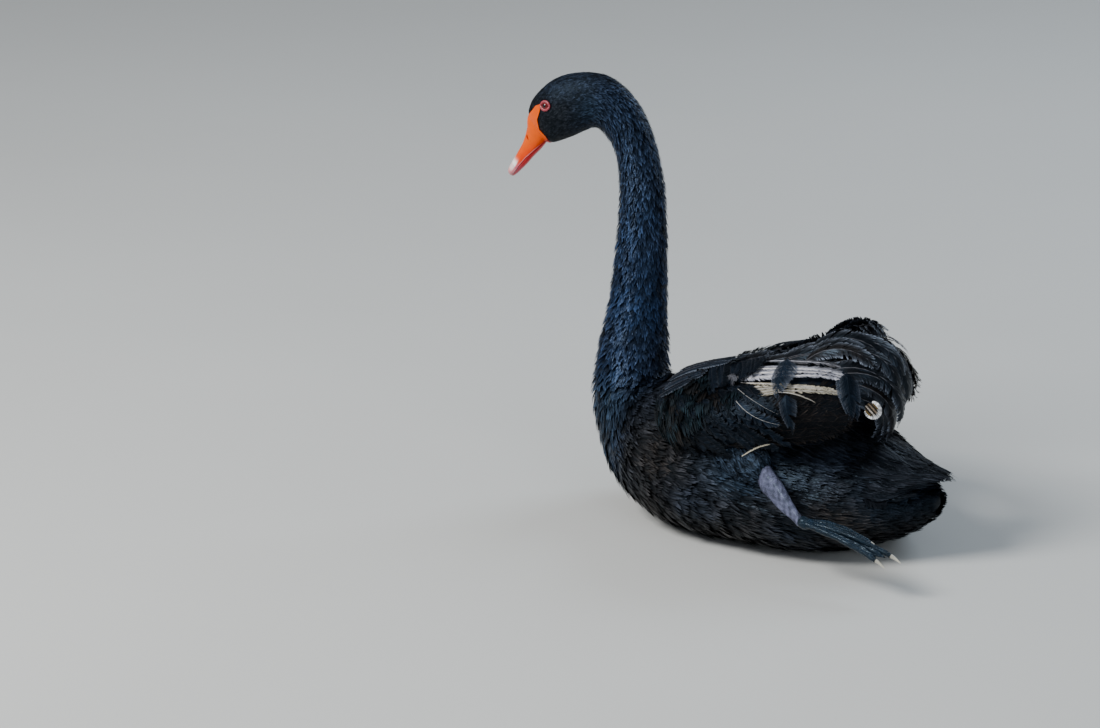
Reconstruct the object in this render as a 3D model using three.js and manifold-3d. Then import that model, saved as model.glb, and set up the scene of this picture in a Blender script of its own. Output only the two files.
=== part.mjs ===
// A black swan afloat: body, upright neck, head turned to its left, wings half raised with curled plumes.
// Millimetres, +Z up. The swan faces -X, its left side is -Y, and it sits on a flat of its belly at z = 0.
import * as THREE from 'three';
import { mergeVertices } from 'three/addons/utils/BufferGeometryUtils.js';
import Module from 'manifold-3d';

const wasm = await Module();
wasm.setup();

// Driving sizes
const GAP = 0.3;
const SKIN_CLEARANCE = 0.45;
const NECK_X = -184;
const HEAD_TURN = THREE.MathUtils.degToRad(26);
const FLOOR_DIP = 5;
const BODY_SIDES = 24;
const NECK_SIDES = 20;
const HEAD_SIDES = 22;

// Body sections from tail to forehead, each across the swan's middle plane:
// [underside x, z, back x, z, half width, squareness, shift of the widest place, share of the head's turn]
const TORSO = [
  [223, 50, 227, 84, 14, 2.0, 0, 0],
  [196, 28, 202, 96, 46, 2.1, -0.1, 0],
  [151, 9, 151, 122, 94, 2.15, -0.15, 0],
  [85, -3, 85, 154, 122, 2.4, -0.18, 0],
  [10, -FLOOR_DIP, 10, 169, 131, 2.5, -0.18, 0],
  [-65, -FLOOR_DIP, -57, 170, 127, 2.5, -0.18, 0],
  [-136, 8, -108, 166, 111, 2.35, -0.15, 0],
  [-188, 34, -134, 159, 87, 2.2, -0.1, 0],
  [-222, 68, -146, 155, 66, 2.05, -0.05, 0],
  [-239, 105, -151, 156, 53, 2.0, 0, 0],
];
const NECK = [
  [-242, 142, -152, 166, 46, 2, 0, 0],
  [-234, 192, -152.5, 195, 40, 2, 0, 0],
  [-223, 242, -153, 243, 35, 2, 0, 0],
  [-214.5, 305, -153, 306, 30.5, 2, 0, 0],
  [-211, 345, -154, 348, 28.5, 2, 0, 0],
  [-210, 378, -156.5, 383, 27, 2, 0, 0],
  [-212, 407, -163, 415, 25, 2, 0, 0.08],
  [-217, 425, -171, 443, 25, 2, 0, 0.2],
  [-224, 438, -182, 470, 25.5, 2, 0, 0.4],
  [-232, 448, -200, 496, 26, 2, 0, 0.65],
  [-239, 453, -223, 514, 26.5, 2, 0, 0.85],
];
const HEAD = [
  [-250, 450, -247, 520, 27, 2, 0, 1],
  [-264, 443, -272, 517, 28.5, 2.1, 0, 1],
  [-279, 437, -291, 509, 28.5, 2.15, 0, 1],
  [-289, 434, -305, 497, 25, 2.2, -0.1, 1],
  [-296, 435, -315, 484, 19.5, 2.2, -0.1, 1],
  [-301, 440, -319.5, 471, 13, 2.1, 0, 1],
];
const BODY = [...TORSO, ...NECK, ...HEAD];
const TORSO_END = TORSO.length - 0.5;
const NECK_LOW_END = TORSO.length + 2;
const NECK_MIDDLE_END = TORSO.length + 4;
const NECK_HIGH_END = TORSO.length + 6.5;
const HEAD_START = TORSO.length + NECK.length;
const HEAD_END = BODY.length - 1;

// Bill sections from inside the face to the tip, in the same form
const BILL = [
  [-282, 449, -300, 488, 13, 2.2, 0, 1],
  [-294, 438, -318.2, 467.6, 15, 2.3, -0.1, 1],
  [-302.5, 427, -320.5, 450, 14.5, 2.4, -0.15, 1],
  [-311.5, 417.5, -325, 434, 13.4, 2.5, -0.15, 1],
  [-319.5, 408, -331.5, 421, 12.8, 2.6, -0.1, 1],
  [-326.5, 400.5, -339, 408, 12.2, 2.6, 0, 1],
  [-331.5, 395.5, -343, 399.2, 9.8, 2.4, 0, 1],
  [-336, 391.6, -342, 393.6, 4.5, 2, 0, 1],
];
// Edge of the bare skin in profile, from the chin by the eye to the forehead, and the line of the mouth
const BARE_EDGE = [[-289, 424], [-292.4, 438.4], [-295.7, 445], [-303.5, 453], [-306, 465.4], [-303, 475],
  [-301.5, 484.5], [-308.5, 481], [-318.2, 467.6]];
const BARE_FRONT = [[-335, 474], [-365, 400], [-335, 376]];
const BELOW_MOUTH = [[-350, 385], [-335, 370], [-285, 420]];
const BEFORE_NAIL = [[-326, 396], [-330, 380], [-360, 390]];
const CUT_HALF_WIDTH = 40;
const MOUTH = [[-292, 441.5], [-300, 434.5], [-311, 425], [-320.4, 416.2], [-330, 404.7], [-338, 393.5]];
const MOUTH_LINE = 0.7;
const NAIL_EDGE = [[-343.5, 411], [-336.5, 408.5], [-332.5, 402.5]];
const NOSTRIL = { x: -318.5, z: 441, y: 9.6, length: 4.6, height: 1.7, depth: 2.6, slope: -1.02 };
const EYE = { x: -296, z: 483.5, y: 23.8, radius: 6.1, sunk: 4.3 };
const EYE_FACING = [-0.49, 0.844, 0.21];
const EYELID = { radius: 5.7, tube: 1.5 };

// Left wing: lower edge, middle and upper edge of its outer face, and thickness, from wrist to rear
const WING = [
  [-84, -97, 128, -96, -91, 154, -82, -66, 184, 12],
  [-44, -118, 120, -50, -115, 162, -38, -62, 202, 30],
  [15, -127, 128, 14, -125, 180, 20, -54, 216, 44],
  [70, -126, 146, 68, -116, 197, 72, -44, 233, 44],
  [116, -106, 158, 118, -92, 205, 112, -34, 243, 32],
  [146, -80, 164, 150, -64, 200, 142, -28, 234, 14],
];
const WING_STEPS = 9;
const WING_ACROSS = 6;

// Tail: left edge, middle and right edge of the upper face, and thickness
const TAIL = [
  [146, -78, 88, 146, 0, 129, 146, 78, 88, 7],
  [184, -58, 82, 188, 0, 111, 184, 58, 82, 9],
  [216, -33, 89, 225, 0, 101, 216, 33, 89, 5],
];

const FEATHER = { color: 0x14171d, roughness: 0.62, metalness: 0 };
const PLUME = { color: 0x1b1d24, roughness: 0.55, metalness: 0 };
const BILL_RED = { color: 0xd8431a, roughness: 0.35, metalness: 0 };
const BILL_PALE = { color: 0xf2d2cd, roughness: 0.3, metalness: 0 };
const LEG_SKIN = { color: 0x4a4a5c, roughness: 0.5, metalness: 0 };
const CLAW_HORN = { color: 0x8d8577, roughness: 0.4, metalness: 0 };
const EYE_RED = { color: 0x8e1616, roughness: 0.08, metalness: 0 };
const LID_RED = { color: 0xc24a48, roughness: 0.45, metalness: 0 };

const swan = new THREE.Group();
swan.name = 'black_swan';

// Repeatable draws, so that each feather differs a little in the same way every time
function draws(seed) {
  let state = seed;
  return (low, high) => {
    state = (state * 1664525 + 1013904223) % 4294967296;
    return low + (high - low) * (state / 4294967296);
  };
}

// A smooth row of numbers through the rows given, straight on past both ends
function between(rows, at) {
  const last = rows.length - 1;
  const whole = THREE.MathUtils.clamp(Math.floor(at), 0, last - 1);
  const t = at - whole;
  return rows[0].map((_, k) => {
    const b = rows[whole][k];
    const c = rows[whole + 1][k];
    const a = whole > 0 ? rows[whole - 1][k] : 2 * b - c;
    const d = whole < last - 1 ? rows[whole + 2][k] : 2 * c - b;
    if (t < 0) return b + t * (c - a) / 2;
    if (t > 1) return c + (t - 1) * (d - b) / 2;
    return b + 0.5 * t * (c - a + (2 * a - 5 * b + 4 * c - d) * t + (3 * b - a - 3 * c + d) * t ** 2);
  });
}

// A closed solid through rings with the same number of points, with a flat lid at each end
function skin(rings) {
  const count = rings[0].length;
  const points = rings.flat();
  const faces = [];
  for (let r = 0; r < rings.length - 1; r += 1) {
    for (let k = 0; k < count; k += 1) {
      const a = r * count + k;
      const b = r * count + (k + 1) % count;
      faces.push(a, b, b + count, a, b + count, a + count);
    }
  }
  const end = (rings.length - 1) * count;
  const half = count / 2;
  for (let k = 0; k < half; k += 1) {
    const far = (count - k) % count;
    const next = count - k - 1;
    if (k < half - 1) faces.push(k, next, k + 1, end + k, end + k + 1, end + next);
    if (k > 0) faces.push(k, far, next, end + k, end + next, end + far);
  }
  const geometry = new THREE.BufferGeometry().setFromPoints(points);
  geometry.setIndex(faces);
  return outward(geometry);
}

// Turn every face over when the solid is inside out
function outward(geometry) {
  const place = geometry.attributes.position;
  const index = geometry.index.array;
  const [a, b, c] = [new THREE.Vector3(), new THREE.Vector3(), new THREE.Vector3()];
  let volume = 0;
  for (let i = 0; i < index.length; i += 3) {
    a.fromBufferAttribute(place, index[i]);
    b.fromBufferAttribute(place, index[i + 1]);
    c.fromBufferAttribute(place, index[i + 2]);
    volume += a.dot(b.cross(c));
  }
  if (volume < 0) {
    for (let i = 0; i < index.length; i += 3) [index[i], index[i + 1]] = [index[i + 1], index[i]];
  }
  return geometry;
}

function solid(geometry) {
  const bare = geometry.clone();
  bare.deleteAttribute('normal');
  bare.deleteAttribute('uv');
  const merged = bare.index && !geometry.attributes.uv ? bare : mergeVertices(bare, 1e-4);
  return new wasm.Manifold(new wasm.Mesh({
    numProp: 3,
    vertProperties: Float32Array.from(merged.attributes.position.array),
    triVerts: Uint32Array.from(merged.index.array),
  }));
}

// The same skin moved outwards all over by a small clearance
function swollen(geometry, by) {
  const copy = geometry.clone();
  copy.computeVertexNormals();
  const place = copy.attributes.position;
  const normal = copy.attributes.normal;
  for (let i = 0; i < place.count; i += 1) {
    place.setXYZ(i, place.getX(i) + normal.getX(i) * by, place.getY(i) + normal.getY(i) * by,
      place.getZ(i) + normal.getZ(i) * by);
  }
  return copy;
}

function largest(body) {
  return body.decompose().reduce((best, piece) => (piece.volume() > best.volume() ? piece : best));
}

function mirrored(body) {
  return body.mirror([0, 1, 0]);
}

function node(name, body, look) {
  const { vertProperties, triVerts, numProp } = largest(body).getMesh();
  const points = new Float32Array(vertProperties.length / numProp * 3);
  for (let i = 0; i < points.length / 3; i += 1) {
    points.set(vertProperties.subarray(i * numProp, i * numProp + 3), i * 3);
  }
  const geometry = new THREE.BufferGeometry();
  geometry.setAttribute('position', new THREE.BufferAttribute(points, 3));
  geometry.setIndex(Array.from(triVerts));
  const mesh = new THREE.Mesh(geometry, new THREE.MeshStandardMaterial(look));
  mesh.name = name;
  return mesh;
}

// One ring of a body section
function ring(row, sides, turned) {
  const [fx, fz, bx, bz, half, squareness, shift, share] = row;
  const points = [];
  for (let k = 0; k < sides; k += 1) {
    const angle = (k + 0.5) / sides * 2 * Math.PI;
    const up = -Math.sign(Math.cos(angle)) * Math.abs(Math.cos(angle)) ** (2 / squareness);
    const out = Math.sign(Math.sin(angle)) * Math.abs(Math.sin(angle)) ** (2 / squareness);
    const point = new THREE.Vector3((fx + bx) / 2 + (bx - fx) / 2 * up, half * out * (1 + shift * up),
      (fz + bz) / 2 + (bz - fz) / 2 * up);
    if (turned) {
      point.x -= NECK_X;
      point.applyAxisAngle(new THREE.Vector3(0, 0, 1), HEAD_TURN * share);
      point.x += NECK_X;
    }
    points.push(point);
  }
  return points;
}

// A stretch of sections as one skin, between two places along them
function stretch(rows, from, to, steps, sides, turned = true) {
  const rings = [];
  for (let i = 0; i <= steps; i += 1) {
    rings.push(ring(between(rows, from + (to - from) * i / steps), sides, turned));
  }
  return skin(rings);
}

// How far along the sections a gap of the given width reaches
function along(rows, at, width) {
  const here = between(rows, at);
  const next = between(rows, at + 0.01);
  const under = Math.hypot(next[0] - here[0], next[1] - here[1]);
  const over = Math.hypot(next[2] - here[2], next[3] - here[3]);
  return width * 0.01 / Math.min(under, over);
}

// Torso with the flat it sits on, and the neck in four lengths up to the nape
const torsoSkin = stretch(BODY, 0, TORSO_END, 18, BODY_SIDES);
const clearOfTorso = solid(swollen(torsoSkin, SKIN_CLEARANCE));
const torso = solid(torsoSkin).trimByPlane([0, 0, 1], 0);
swan.add(node('torso', torso, FEATHER));

const neckLengths = [
  ['neck_lower', TORSO_END, NECK_LOW_END, 5],
  ['neck_middle', NECK_LOW_END, NECK_MIDDLE_END, 4],
  ['neck_upper', NECK_MIDDLE_END, NECK_HIGH_END, 5],
  ['nape', NECK_HIGH_END, HEAD_START, 6],
];
for (const [name, from, to, steps] of neckLengths) {
  const start = from + along(BODY, from, GAP);
  swan.add(node(name, solid(stretch(BODY, start, to, steps, NECK_SIDES)), FEATHER));
}

// Head and bill in the head's own frame, whole first and then parted along the edge of the bare skin
const head = new THREE.Group();
head.position.x = NECK_X;
head.rotation.z = HEAD_TURN;
swan.add(head);

// Block right through the head with the given outline in profile
function profile(points) {
  const shape = new THREE.Shape(points.map(([x, z]) => new THREE.Vector2(x, z)));
  const block = new THREE.ExtrudeGeometry(shape, { depth: 2 * CUT_HALF_WIDTH, bevelEnabled: false });
  block.rotateX(Math.PI / 2);
  block.translate(0, CUT_HALF_WIDTH, 0);
  return solid(block);
}

// The same line moved sideways
function pushed(points, by) {
  return points.map(([x, z], i) => {
    const [ax, az] = points[Math.max(i - 1, 0)];
    const [bx, bz] = points[Math.min(i + 1, points.length - 1)];
    const length = Math.hypot(bx - ax, bz - az);
    return [x + (bz - az) / length * by, z - (bx - ax) / length * by];
  });
}

function ball(x, y, z, radius, rings) {
  const shape = new THREE.SphereGeometry(radius, rings * 2, rings);
  shape.translate(x, y, z);
  return solid(shape);
}

// The way the eye looks out of the side of the head, and its ball with room round it
function eyeFacing(sign) {
  return new THREE.Vector3(EYE_FACING[0], EYE_FACING[1] * sign, EYE_FACING[2]).normalize();
}

function eyeball(sign, room) {
  const facing = eyeFacing(sign);
  return ball(EYE.x - facing.x * EYE.sunk, EYE.y * sign - facing.y * EYE.sunk, EYE.z - facing.z * EYE.sunk,
    EYE.radius + room, 8);
}

const headSkin = stretch(BODY, HEAD_START + along(BODY, HEAD_START, GAP), HEAD_END, 9, HEAD_SIDES, false);
const billSkin = stretch(BILL, 0, BILL.length - 1, 10, 16, false);
let skull = solid(headSkin).add(solid(billSkin));
const eyes = {};
for (const [side, sign] of [['left', -1], ['right', 1]]) {
  eyes[side] = eyeball(sign, 0);
  skull = skull.subtract(eyeball(sign, GAP));
}
const feathered = skull.subtract(profile([...pushed(BARE_EDGE, GAP), ...BARE_FRONT]));
const bare = skull.intersect(profile([...BARE_EDGE, ...BARE_FRONT]));
const mouthBlock = (by) => profile([...pushed(MOUTH, by), ...BELOW_MOUTH]);
const nailBlock = (by) => profile([...pushed(NAIL_EDGE, by), ...BEFORE_NAIL]);
const upper = bare.subtract(mouthBlock(MOUTH_LINE / 2));
const lower = bare.intersect(mouthBlock(-MOUTH_LINE / 2));
let upperBill = upper.subtract(nailBlock(-GAP));
for (const sign of [-1, 1]) {
  const slot = new THREE.SphereGeometry(1, 10, 6);
  slot.scale(NOSTRIL.length, NOSTRIL.depth, NOSTRIL.height);
  slot.rotateY(-NOSTRIL.slope);
  slot.translate(NOSTRIL.x, NOSTRIL.y * sign, NOSTRIL.z);
  upperBill = upperBill.subtract(solid(slot));
}
const headNodes = [
  ['head', feathered, FEATHER],
  ['bill_upper', upperBill, BILL_RED],
  ['bill_nail', upper.intersect(nailBlock(0)), BILL_PALE],
  ['bill_lower', lower, BILL_RED],
  ['eye_left', eyes.left, EYE_RED],
  ['eye_right', eyes.right, EYE_RED],
];
for (const [side, sign] of [['left', -1], ['right', 1]]) {
  const lid = new THREE.TorusGeometry(EYELID.radius, EYELID.tube, 6, 18);
  lid.applyQuaternion(new THREE.Quaternion().setFromUnitVectors(new THREE.Vector3(0, 0, 1), eyeFacing(sign)));
  lid.translate(EYE.x, EYE.y * sign, EYE.z);
  const clear = solid(swollen(headSkin, GAP)).add(eyeball(sign, GAP));
  headNodes.push([`eyelid_${side}`, solid(lid).subtract(clear), LID_RED]);
}
for (const [name, body, look] of headNodes) {
  const piece = node(name, body, look);
  piece.position.x = -NECK_X;
  head.add(piece);
}

// A leaf: a curved, thin body between two edges, thickest along its middle
function leafPoint(rows, u, v) {
  const row = between(rows, u * (rows.length - 1));
  const weight = [(1 - v) * (1 - 2 * v), 4 * v * (1 - v), v * (2 * v - 1)];
  const axis = (k) => weight[0] * row[k] + weight[1] * row[k + 3] + weight[2] * row[k + 6];
  return new THREE.Vector3(axis(0), axis(1), axis(2));
}

function leafNormal(rows, u, v) {
  const step = 0.01;
  const du = leafPoint(rows, u + step, v).sub(leafPoint(rows, u - step, v));
  const dv = leafPoint(rows, u, v + step).sub(leafPoint(rows, u, v - step));
  return du.cross(dv).normalize();
}

function leaf(rows, steps, across) {
  const rings = [];
  for (let i = 0; i <= steps; i += 1) {
    const u = i / steps;
    const thick = between(rows, u * (rows.length - 1))[9];
    const outer = [];
    const inner = [];
    for (let k = 0; k <= across; k += 1) {
      const v = k / across;
      const point = leafPoint(rows, u, v);
      outer.push(point);
      const depth = thick * Math.sqrt(Math.sin(Math.PI * v));
      if (k > 0 && k < across) inner.unshift(point.clone().addScaledVector(leafNormal(rows, u, v), -depth));
    }
    rings.push([...outer, ...inner]);
  }
  return skin(rings);
}

// A feather vane: a flat tapered blade along a path of places with the face's own direction at each
function vane(path, width, thick, roll = 0) {
  const rings = path.map(({ place, face, share }, i) => {
    const ahead = path[Math.min(i + 1, path.length - 1)].place;
    const behind = path[Math.max(i - 1, 0)].place;
    const run = ahead.clone().sub(behind).normalize();
    const side = new THREE.Vector3().crossVectors(face, run).normalize().applyAxisAngle(run, roll);
    const up = new THREE.Vector3().crossVectors(run, side).normalize();
    const half = width / 2 * share;
    return [[-half, thick / 2], [half, thick / 2], [half, -thick / 2], [-half, -thick / 2]].map(([s, t]) => (
      place.clone().addScaledVector(side, s).addScaledVector(up, t)));
  });
  return solid(skin(rings));
}

// How wide a vane is, as a share of its full width, from root to tip
const BLADE = [[0, 0.5], [0.24, 0.9], [0.74, 0.95], [1, 0.35]];
const LONG_BLADE = [[0, 0.5], [0.22, 0.85], [0.55, 1], [0.84, 0.86], [1, 0.3]];

// Path that lies along a leaf from one place on it to another, out of the leaf's face and on at a height
function lying(rows, from, to, sunk, height) {
  return BLADE.map(([s, share], i) => {
    const u = THREE.MathUtils.lerp(from[0], to[0], s);
    const v = THREE.MathUtils.lerp(from[1], to[1], s);
    const face = leafNormal(rows, u, v);
    const off = i === 0 ? -sunk : THREE.MathUtils.lerp(height[0], height[1], s);
    return { place: leafPoint(rows, u, v).addScaledVector(face, off), face, share };
  });
}

// Path that leaves a leaf at a rise and curls back over towards it
function curling(rows, from, rise, droop, length, sunk) {
  const behind = leafPoint(rows, from[0] - 0.02, from[1]);
  const level = leafPoint(rows, from[0] + 0.02, from[1]).sub(behind).normalize();
  const up = leafNormal(rows, ...from).lerp(new THREE.Vector3(0, 0, 1), PLUME_UPRIGHT);
  up.addScaledVector(level, -up.dot(level)).normalize();
  const place = leafPoint(rows, ...from).addScaledVector(up, -sunk);
  const path = [];
  let done = 0;
  for (const [s, share] of LONG_BLADE) {
    const middle = rise - droop * ((done + s) / 2) ** 1.3;
    place.addScaledVector(level, Math.cos(middle) * (s - done) * length);
    place.addScaledVector(up, Math.sin(middle) * (s - done) * length);
    const here = rise - droop * s ** 1.3;
    const face = up.clone().multiplyScalar(Math.cos(here)).addScaledVector(level, -Math.sin(here));
    path.push({ place: place.clone(), face, share });
    done = s;
  }
  return path;
}

// Rows of feathers that lie on the wing: how many, first and last root and tip (each as u, v), width,
// height over the wing at root and tip, and the roll that lays each over the next
const FLIGHT_WIDTH = 20;
const COVERT_WIDTH = 27;
const FLIGHT_ROLL = -0.18;
const COVERT_ROLL = 0.13;
const WING_ROWS = [
  { count: 4, root: [[0.36, 0.07], [0.52, 0.42]], tip: [[1.04, 0.02], [1.1, 0.42]], width: FLIGHT_WIDTH,
    height: [3, 3], roll: FLIGHT_ROLL },
  { count: 3, root: [[0.5, 0.56], [0.54, 0.82]], tip: [[1.03, 0.54], [1.05, 0.8]], width: FLIGHT_WIDTH,
    height: [3, 4], roll: FLIGHT_ROLL },
  { count: 6, root: [[0.06, 0.5], [0.5, 0.6]], tip: [[0.24, -0.02], [0.78, 0.12]], width: COVERT_WIDTH,
    height: [7, 8], roll: COVERT_ROLL },
  { count: 6, root: [[0.03, 0.7], [0.42, 0.82]], tip: [[0.17, 0.3], [0.58, 0.42]], width: COVERT_WIDTH,
    height: [10, 12], roll: COVERT_ROLL },
  { count: 4, root: [[0.02, 0.92], [0.28, 0.97]], tip: [[0.2, 0.66], [0.5, 0.76]], width: COVERT_WIDTH,
    height: [12, 14], roll: COVERT_ROLL },
];

// Rows of plumes that curl over the back: how many, where they leave the wing, the angle they rise at and
// how far they turn down again, and their lengths
const PLUME_ROWS = [
  { count: 3, u: 0.32, v: [0.95, 0.68], rise: 0.36, droop: 1.0, length: [98, 88] },
  { count: 4, u: 0.51, v: [0.97, 0.54], rise: 0.56, droop: 2.0, length: [118, 98] },
  { count: 4, u: 0.69, v: [0.96, 0.52], rise: 0.32, droop: 2.5, length: [134, 116] },
];
const PLUME_WIDTH = 30;
const PLUME_ROLL = -0.24;
const PLUME_UPRIGHT = 0.45;
const VANE_THICK = 0.9;
const ROOT_DEPTH = 4;
const FAR_WING_SAG = [18, 18, 14, 6, 0, 0];

function mix(ends, t) {
  return THREE.MathUtils.lerp(ends[0], ends[1], t);
}

// A left wing, with its upper edge lowered by the given sag at each section
function wing(seed, sag) {
  const pick = draws(seed);
  const rows = WING.map((row, i) => [...row.slice(0, 8), row[8] - sag[i], row[9]]);
  const pieces = [solid(leaf(rows, WING_STEPS, WING_ACROSS))];
  for (const { count, root, tip, width, height, roll } of WING_ROWS) {
    for (let i = 0; i < count; i += 1) {
      const t = i / (count - 1);
      const from = [0, 1].map((k) => mix([root[0][k], root[1][k]], t) + pick(-0.004, 0.004));
      const to = [0, 1].map((k) => mix([tip[0][k], tip[1][k]], t) + pick(-0.012, 0.012));
      pieces.push(vane(lying(rows, from, to, ROOT_DEPTH, height), width, VANE_THICK, roll));
    }
  }
  for (const { count, u, v, rise, droop, length } of PLUME_ROWS) {
    for (let i = 0; i < count; i += 1) {
      const t = i / (count - 1);
      const path = curling(rows, [u + pick(-0.01, 0.01), mix(v, t)], rise + pick(-0.04, 0.04),
        droop + pick(-0.12, 0.12), mix(length, t) * pick(0.95, 1.04), ROOT_DEPTH);
      pieces.push(vane(path, PLUME_WIDTH, VANE_THICK, PLUME_ROLL));
    }
  }
  return wasm.Manifold.union(pieces).subtract(clearOfTorso).trimByPlane([0, -1, 0], GAP);
}
swan.add(node('wing_left', wing(11, FAR_WING_SAG.map(() => 0)), PLUME));
swan.add(node('wing_right', mirrored(wing(29, FAR_WING_SAG)), PLUME));

// Tail: a low roof of feathers over the rump, the middle ones longest
const TAIL_ROLL = 0.1;
const TAIL_FAN = { count: 10, length: 1.1, width: 26, root: [0.1, 0.9], tip: [-0.22, 1.22], reach: 1.24,
  taper: 0.5, height: [2, 1], sunk: 3 };
function tail(seed) {
  const pick = draws(seed);
  const pieces = [solid(leaf(TAIL, 4, 6))];
  for (let i = 0; i < TAIL_FAN.count; i += 1) {
    const t = i / (TAIL_FAN.count - 1);
    const reach = TAIL_FAN.reach - TAIL_FAN.taper * Math.abs(2 * t - 1) ** 1.6 + pick(-0.02, 0.02);
    const path = lying(TAIL, [reach - TAIL_FAN.length, mix(TAIL_FAN.root, t)], [reach, mix(TAIL_FAN.tip, t)],
      TAIL_FAN.sunk, TAIL_FAN.height);
    pieces.push(vane(path, TAIL_FAN.width, VANE_THICK, t < 0.5 ? TAIL_ROLL : -TAIL_ROLL));
  }
  return wasm.Manifold.union(pieces).subtract(clearOfTorso);
}
swan.add(node('tail', tail(5), PLUME));

// Legs: a tube through places with a width and a depth at each
function limb(points, sides, side = new THREE.Vector3(0, 1, 0)) {
  const places = points.map(([x, y, z]) => new THREE.Vector3(x, y, z));
  const rings = points.map(([, , , wide, deep], i) => {
    const next = places[Math.min(i + 1, points.length - 1)];
    const run = next.clone().sub(places[Math.max(i - 1, 0)]).normalize();
    const across = side.clone().addScaledVector(run, -side.dot(run)).normalize();
    const up = new THREE.Vector3().crossVectors(run, across);
    const loop = [];
    for (let k = 0; k < sides; k += 1) {
      const angle = (k + 0.5) / sides * 2 * Math.PI;
      loop.push(places[i].clone().addScaledVector(across, Math.cos(angle) * wide)
        .addScaledVector(up, Math.sin(angle) * deep));
    }
    return loop;
  });
  return skin(rings);
}

// Shank as places from the hock with width and depth, toes as their ends from the toe joint
const SHANK = [[-24, -26, 14, 8, 10], [0, 0, 0, 9, 12.5], [10, 4, -5, 8, 11], [30, 11, -14, 5.6, 8],
  [52, 19, -24, 5.2, 7.2], [64, 24, -30, 7, 8.4]];
const SHANK_FACETS = 12;
const TOE_FACETS = 6;
const TOE_ROOT = [69, 25, -30];
const TOE_STEPS = [0, 0.2, 0.42, 0.62, 0.82, 1];
const TOE_KNUCKLE = 1.12;
const TOE_WAIST = 0.9;
const TOES = [
  { name: 'middle', end: [112, -2, -18], bow: 5, wide: 4.6, claw: 13 },
  { name: 'outer', end: [100, 11, -22], bow: 4, wide: 4.2, claw: 12 },
  { name: 'inner', end: [80, -12, -12], bow: 6, wide: 4.2, claw: 11 },
];
const HIND_TOE = [[2, -4, 1, 3.4, 3.4], [-2, -12, -1, 3, 3], [-3, -19, -5, 1.4, 1.4]];
const JOINT_RADIUS = 7;
const WEB_THICK = 1.1;
const WEB_PULL = 0.35;
const CLAW_DROP = 2.5;
const CLAW_THICK = 0.5;

function leg(side, sign, hock) {
  const at = ([x, y, z, ...rest]) => [hock[0] + x, sign * (hock[1] + y), hock[2] + z, ...rest];
  const [rootX, rootY, rootZ] = TOE_ROOT;
  const shankSkin = limb(SHANK.map(at), SHANK_FACETS);
  swan.add(node(`shank_${side}`, solid(shankSkin).subtract(clearOfTorso), LEG_SKIN));

  const paths = TOES.map(({ end, bow, wide }) => TOE_STEPS.map((s, i) => {
    const thick = wide * (i % 2 ? TOE_KNUCKLE : TOE_WAIST) * (1 - 0.4 * s);
    const rise = bow * Math.sin(Math.PI * s);
    return [rootX + end[0] * s, rootY + end[1] * Math.sqrt(s), rootZ + end[2] * s + rise, thick, thick];
  }));
  const hindPath = HIND_TOE.map(([x, y, z, ...size]) => [rootX + x, rootY + y, rootZ + z, ...size]);
  const pieces = paths.map((path) => solid(limb(path.map(at), TOE_FACETS)));
  pieces.push(ball(...at(TOE_ROOT), JOINT_RADIUS, 4));
  pieces.push(solid(limb(hindPath.map(at), TOE_FACETS, new THREE.Vector3(1, 0, 0))));
  const lift = new THREE.Vector3(0, 0, WEB_THICK / 2);
  for (const edge of [1, 2]) {
    const webRings = paths[0].map((_, k) => {
      const near = new THREE.Vector3(...at(paths[0][k]).slice(0, 3));
      const far = new THREE.Vector3(...at(paths[edge][k]).slice(0, 3));
      if (k === paths[0].length - 1) near.lerp(far, WEB_PULL);
      return [near.clone().add(lift), far.clone().add(lift), far.clone().sub(lift), near.clone().sub(lift)];
    });
    pieces.push(solid(skin(webRings)));
  }
  const foot = wasm.Manifold.union(pieces).subtract(solid(swollen(shankSkin, SKIN_CLEARANCE)));
  swan.add(node(`foot_${side}`, foot, LEG_SKIN));

  TOES.forEach(({ name, claw, wide }, i) => {
    const [before, tip] = paths[i].slice(-2).map((row) => new THREE.Vector3(...row.slice(0, 3)));
    const run = tip.clone().sub(before).normalize();
    const spine = [0, 0.5, 1].map((s) => {
      const place = tip.clone().addScaledVector(run, GAP * 2 + claw * s);
      const thick = wide * CLAW_THICK * (1 - 0.8 * s);
      return [place.x, place.y, place.z - CLAW_DROP * s * s, thick, thick * 1.1];
    });
    const horn = solid(limb(spine.map(at), TOE_FACETS)).subtract(foot);
    swan.add(node(`claw_${name}_${side}`, horn, CLAW_HORN));
  });
}
leg('left', -1, [66, 126, 100]);
leg('right', 1, [-56, 127, 62]);

export default swan;
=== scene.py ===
import math

import bmesh
import bpy
import numpy as np
from mathutils import Matrix, Vector
from mathutils.kdtree import KDTree


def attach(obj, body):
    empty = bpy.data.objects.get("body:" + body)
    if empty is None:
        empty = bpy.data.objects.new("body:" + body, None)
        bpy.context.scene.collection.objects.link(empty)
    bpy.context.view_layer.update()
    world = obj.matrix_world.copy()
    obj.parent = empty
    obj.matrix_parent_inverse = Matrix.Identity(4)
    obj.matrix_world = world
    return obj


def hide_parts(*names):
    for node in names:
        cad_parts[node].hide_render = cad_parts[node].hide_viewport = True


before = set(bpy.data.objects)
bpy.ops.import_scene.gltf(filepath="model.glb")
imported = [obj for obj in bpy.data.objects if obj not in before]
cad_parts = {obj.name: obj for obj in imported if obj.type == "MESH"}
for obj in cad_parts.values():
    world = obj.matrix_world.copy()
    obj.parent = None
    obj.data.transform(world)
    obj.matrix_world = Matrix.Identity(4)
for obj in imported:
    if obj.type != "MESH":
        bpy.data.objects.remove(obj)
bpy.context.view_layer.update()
MM = 0.001
scene = bpy.context.scene

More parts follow.
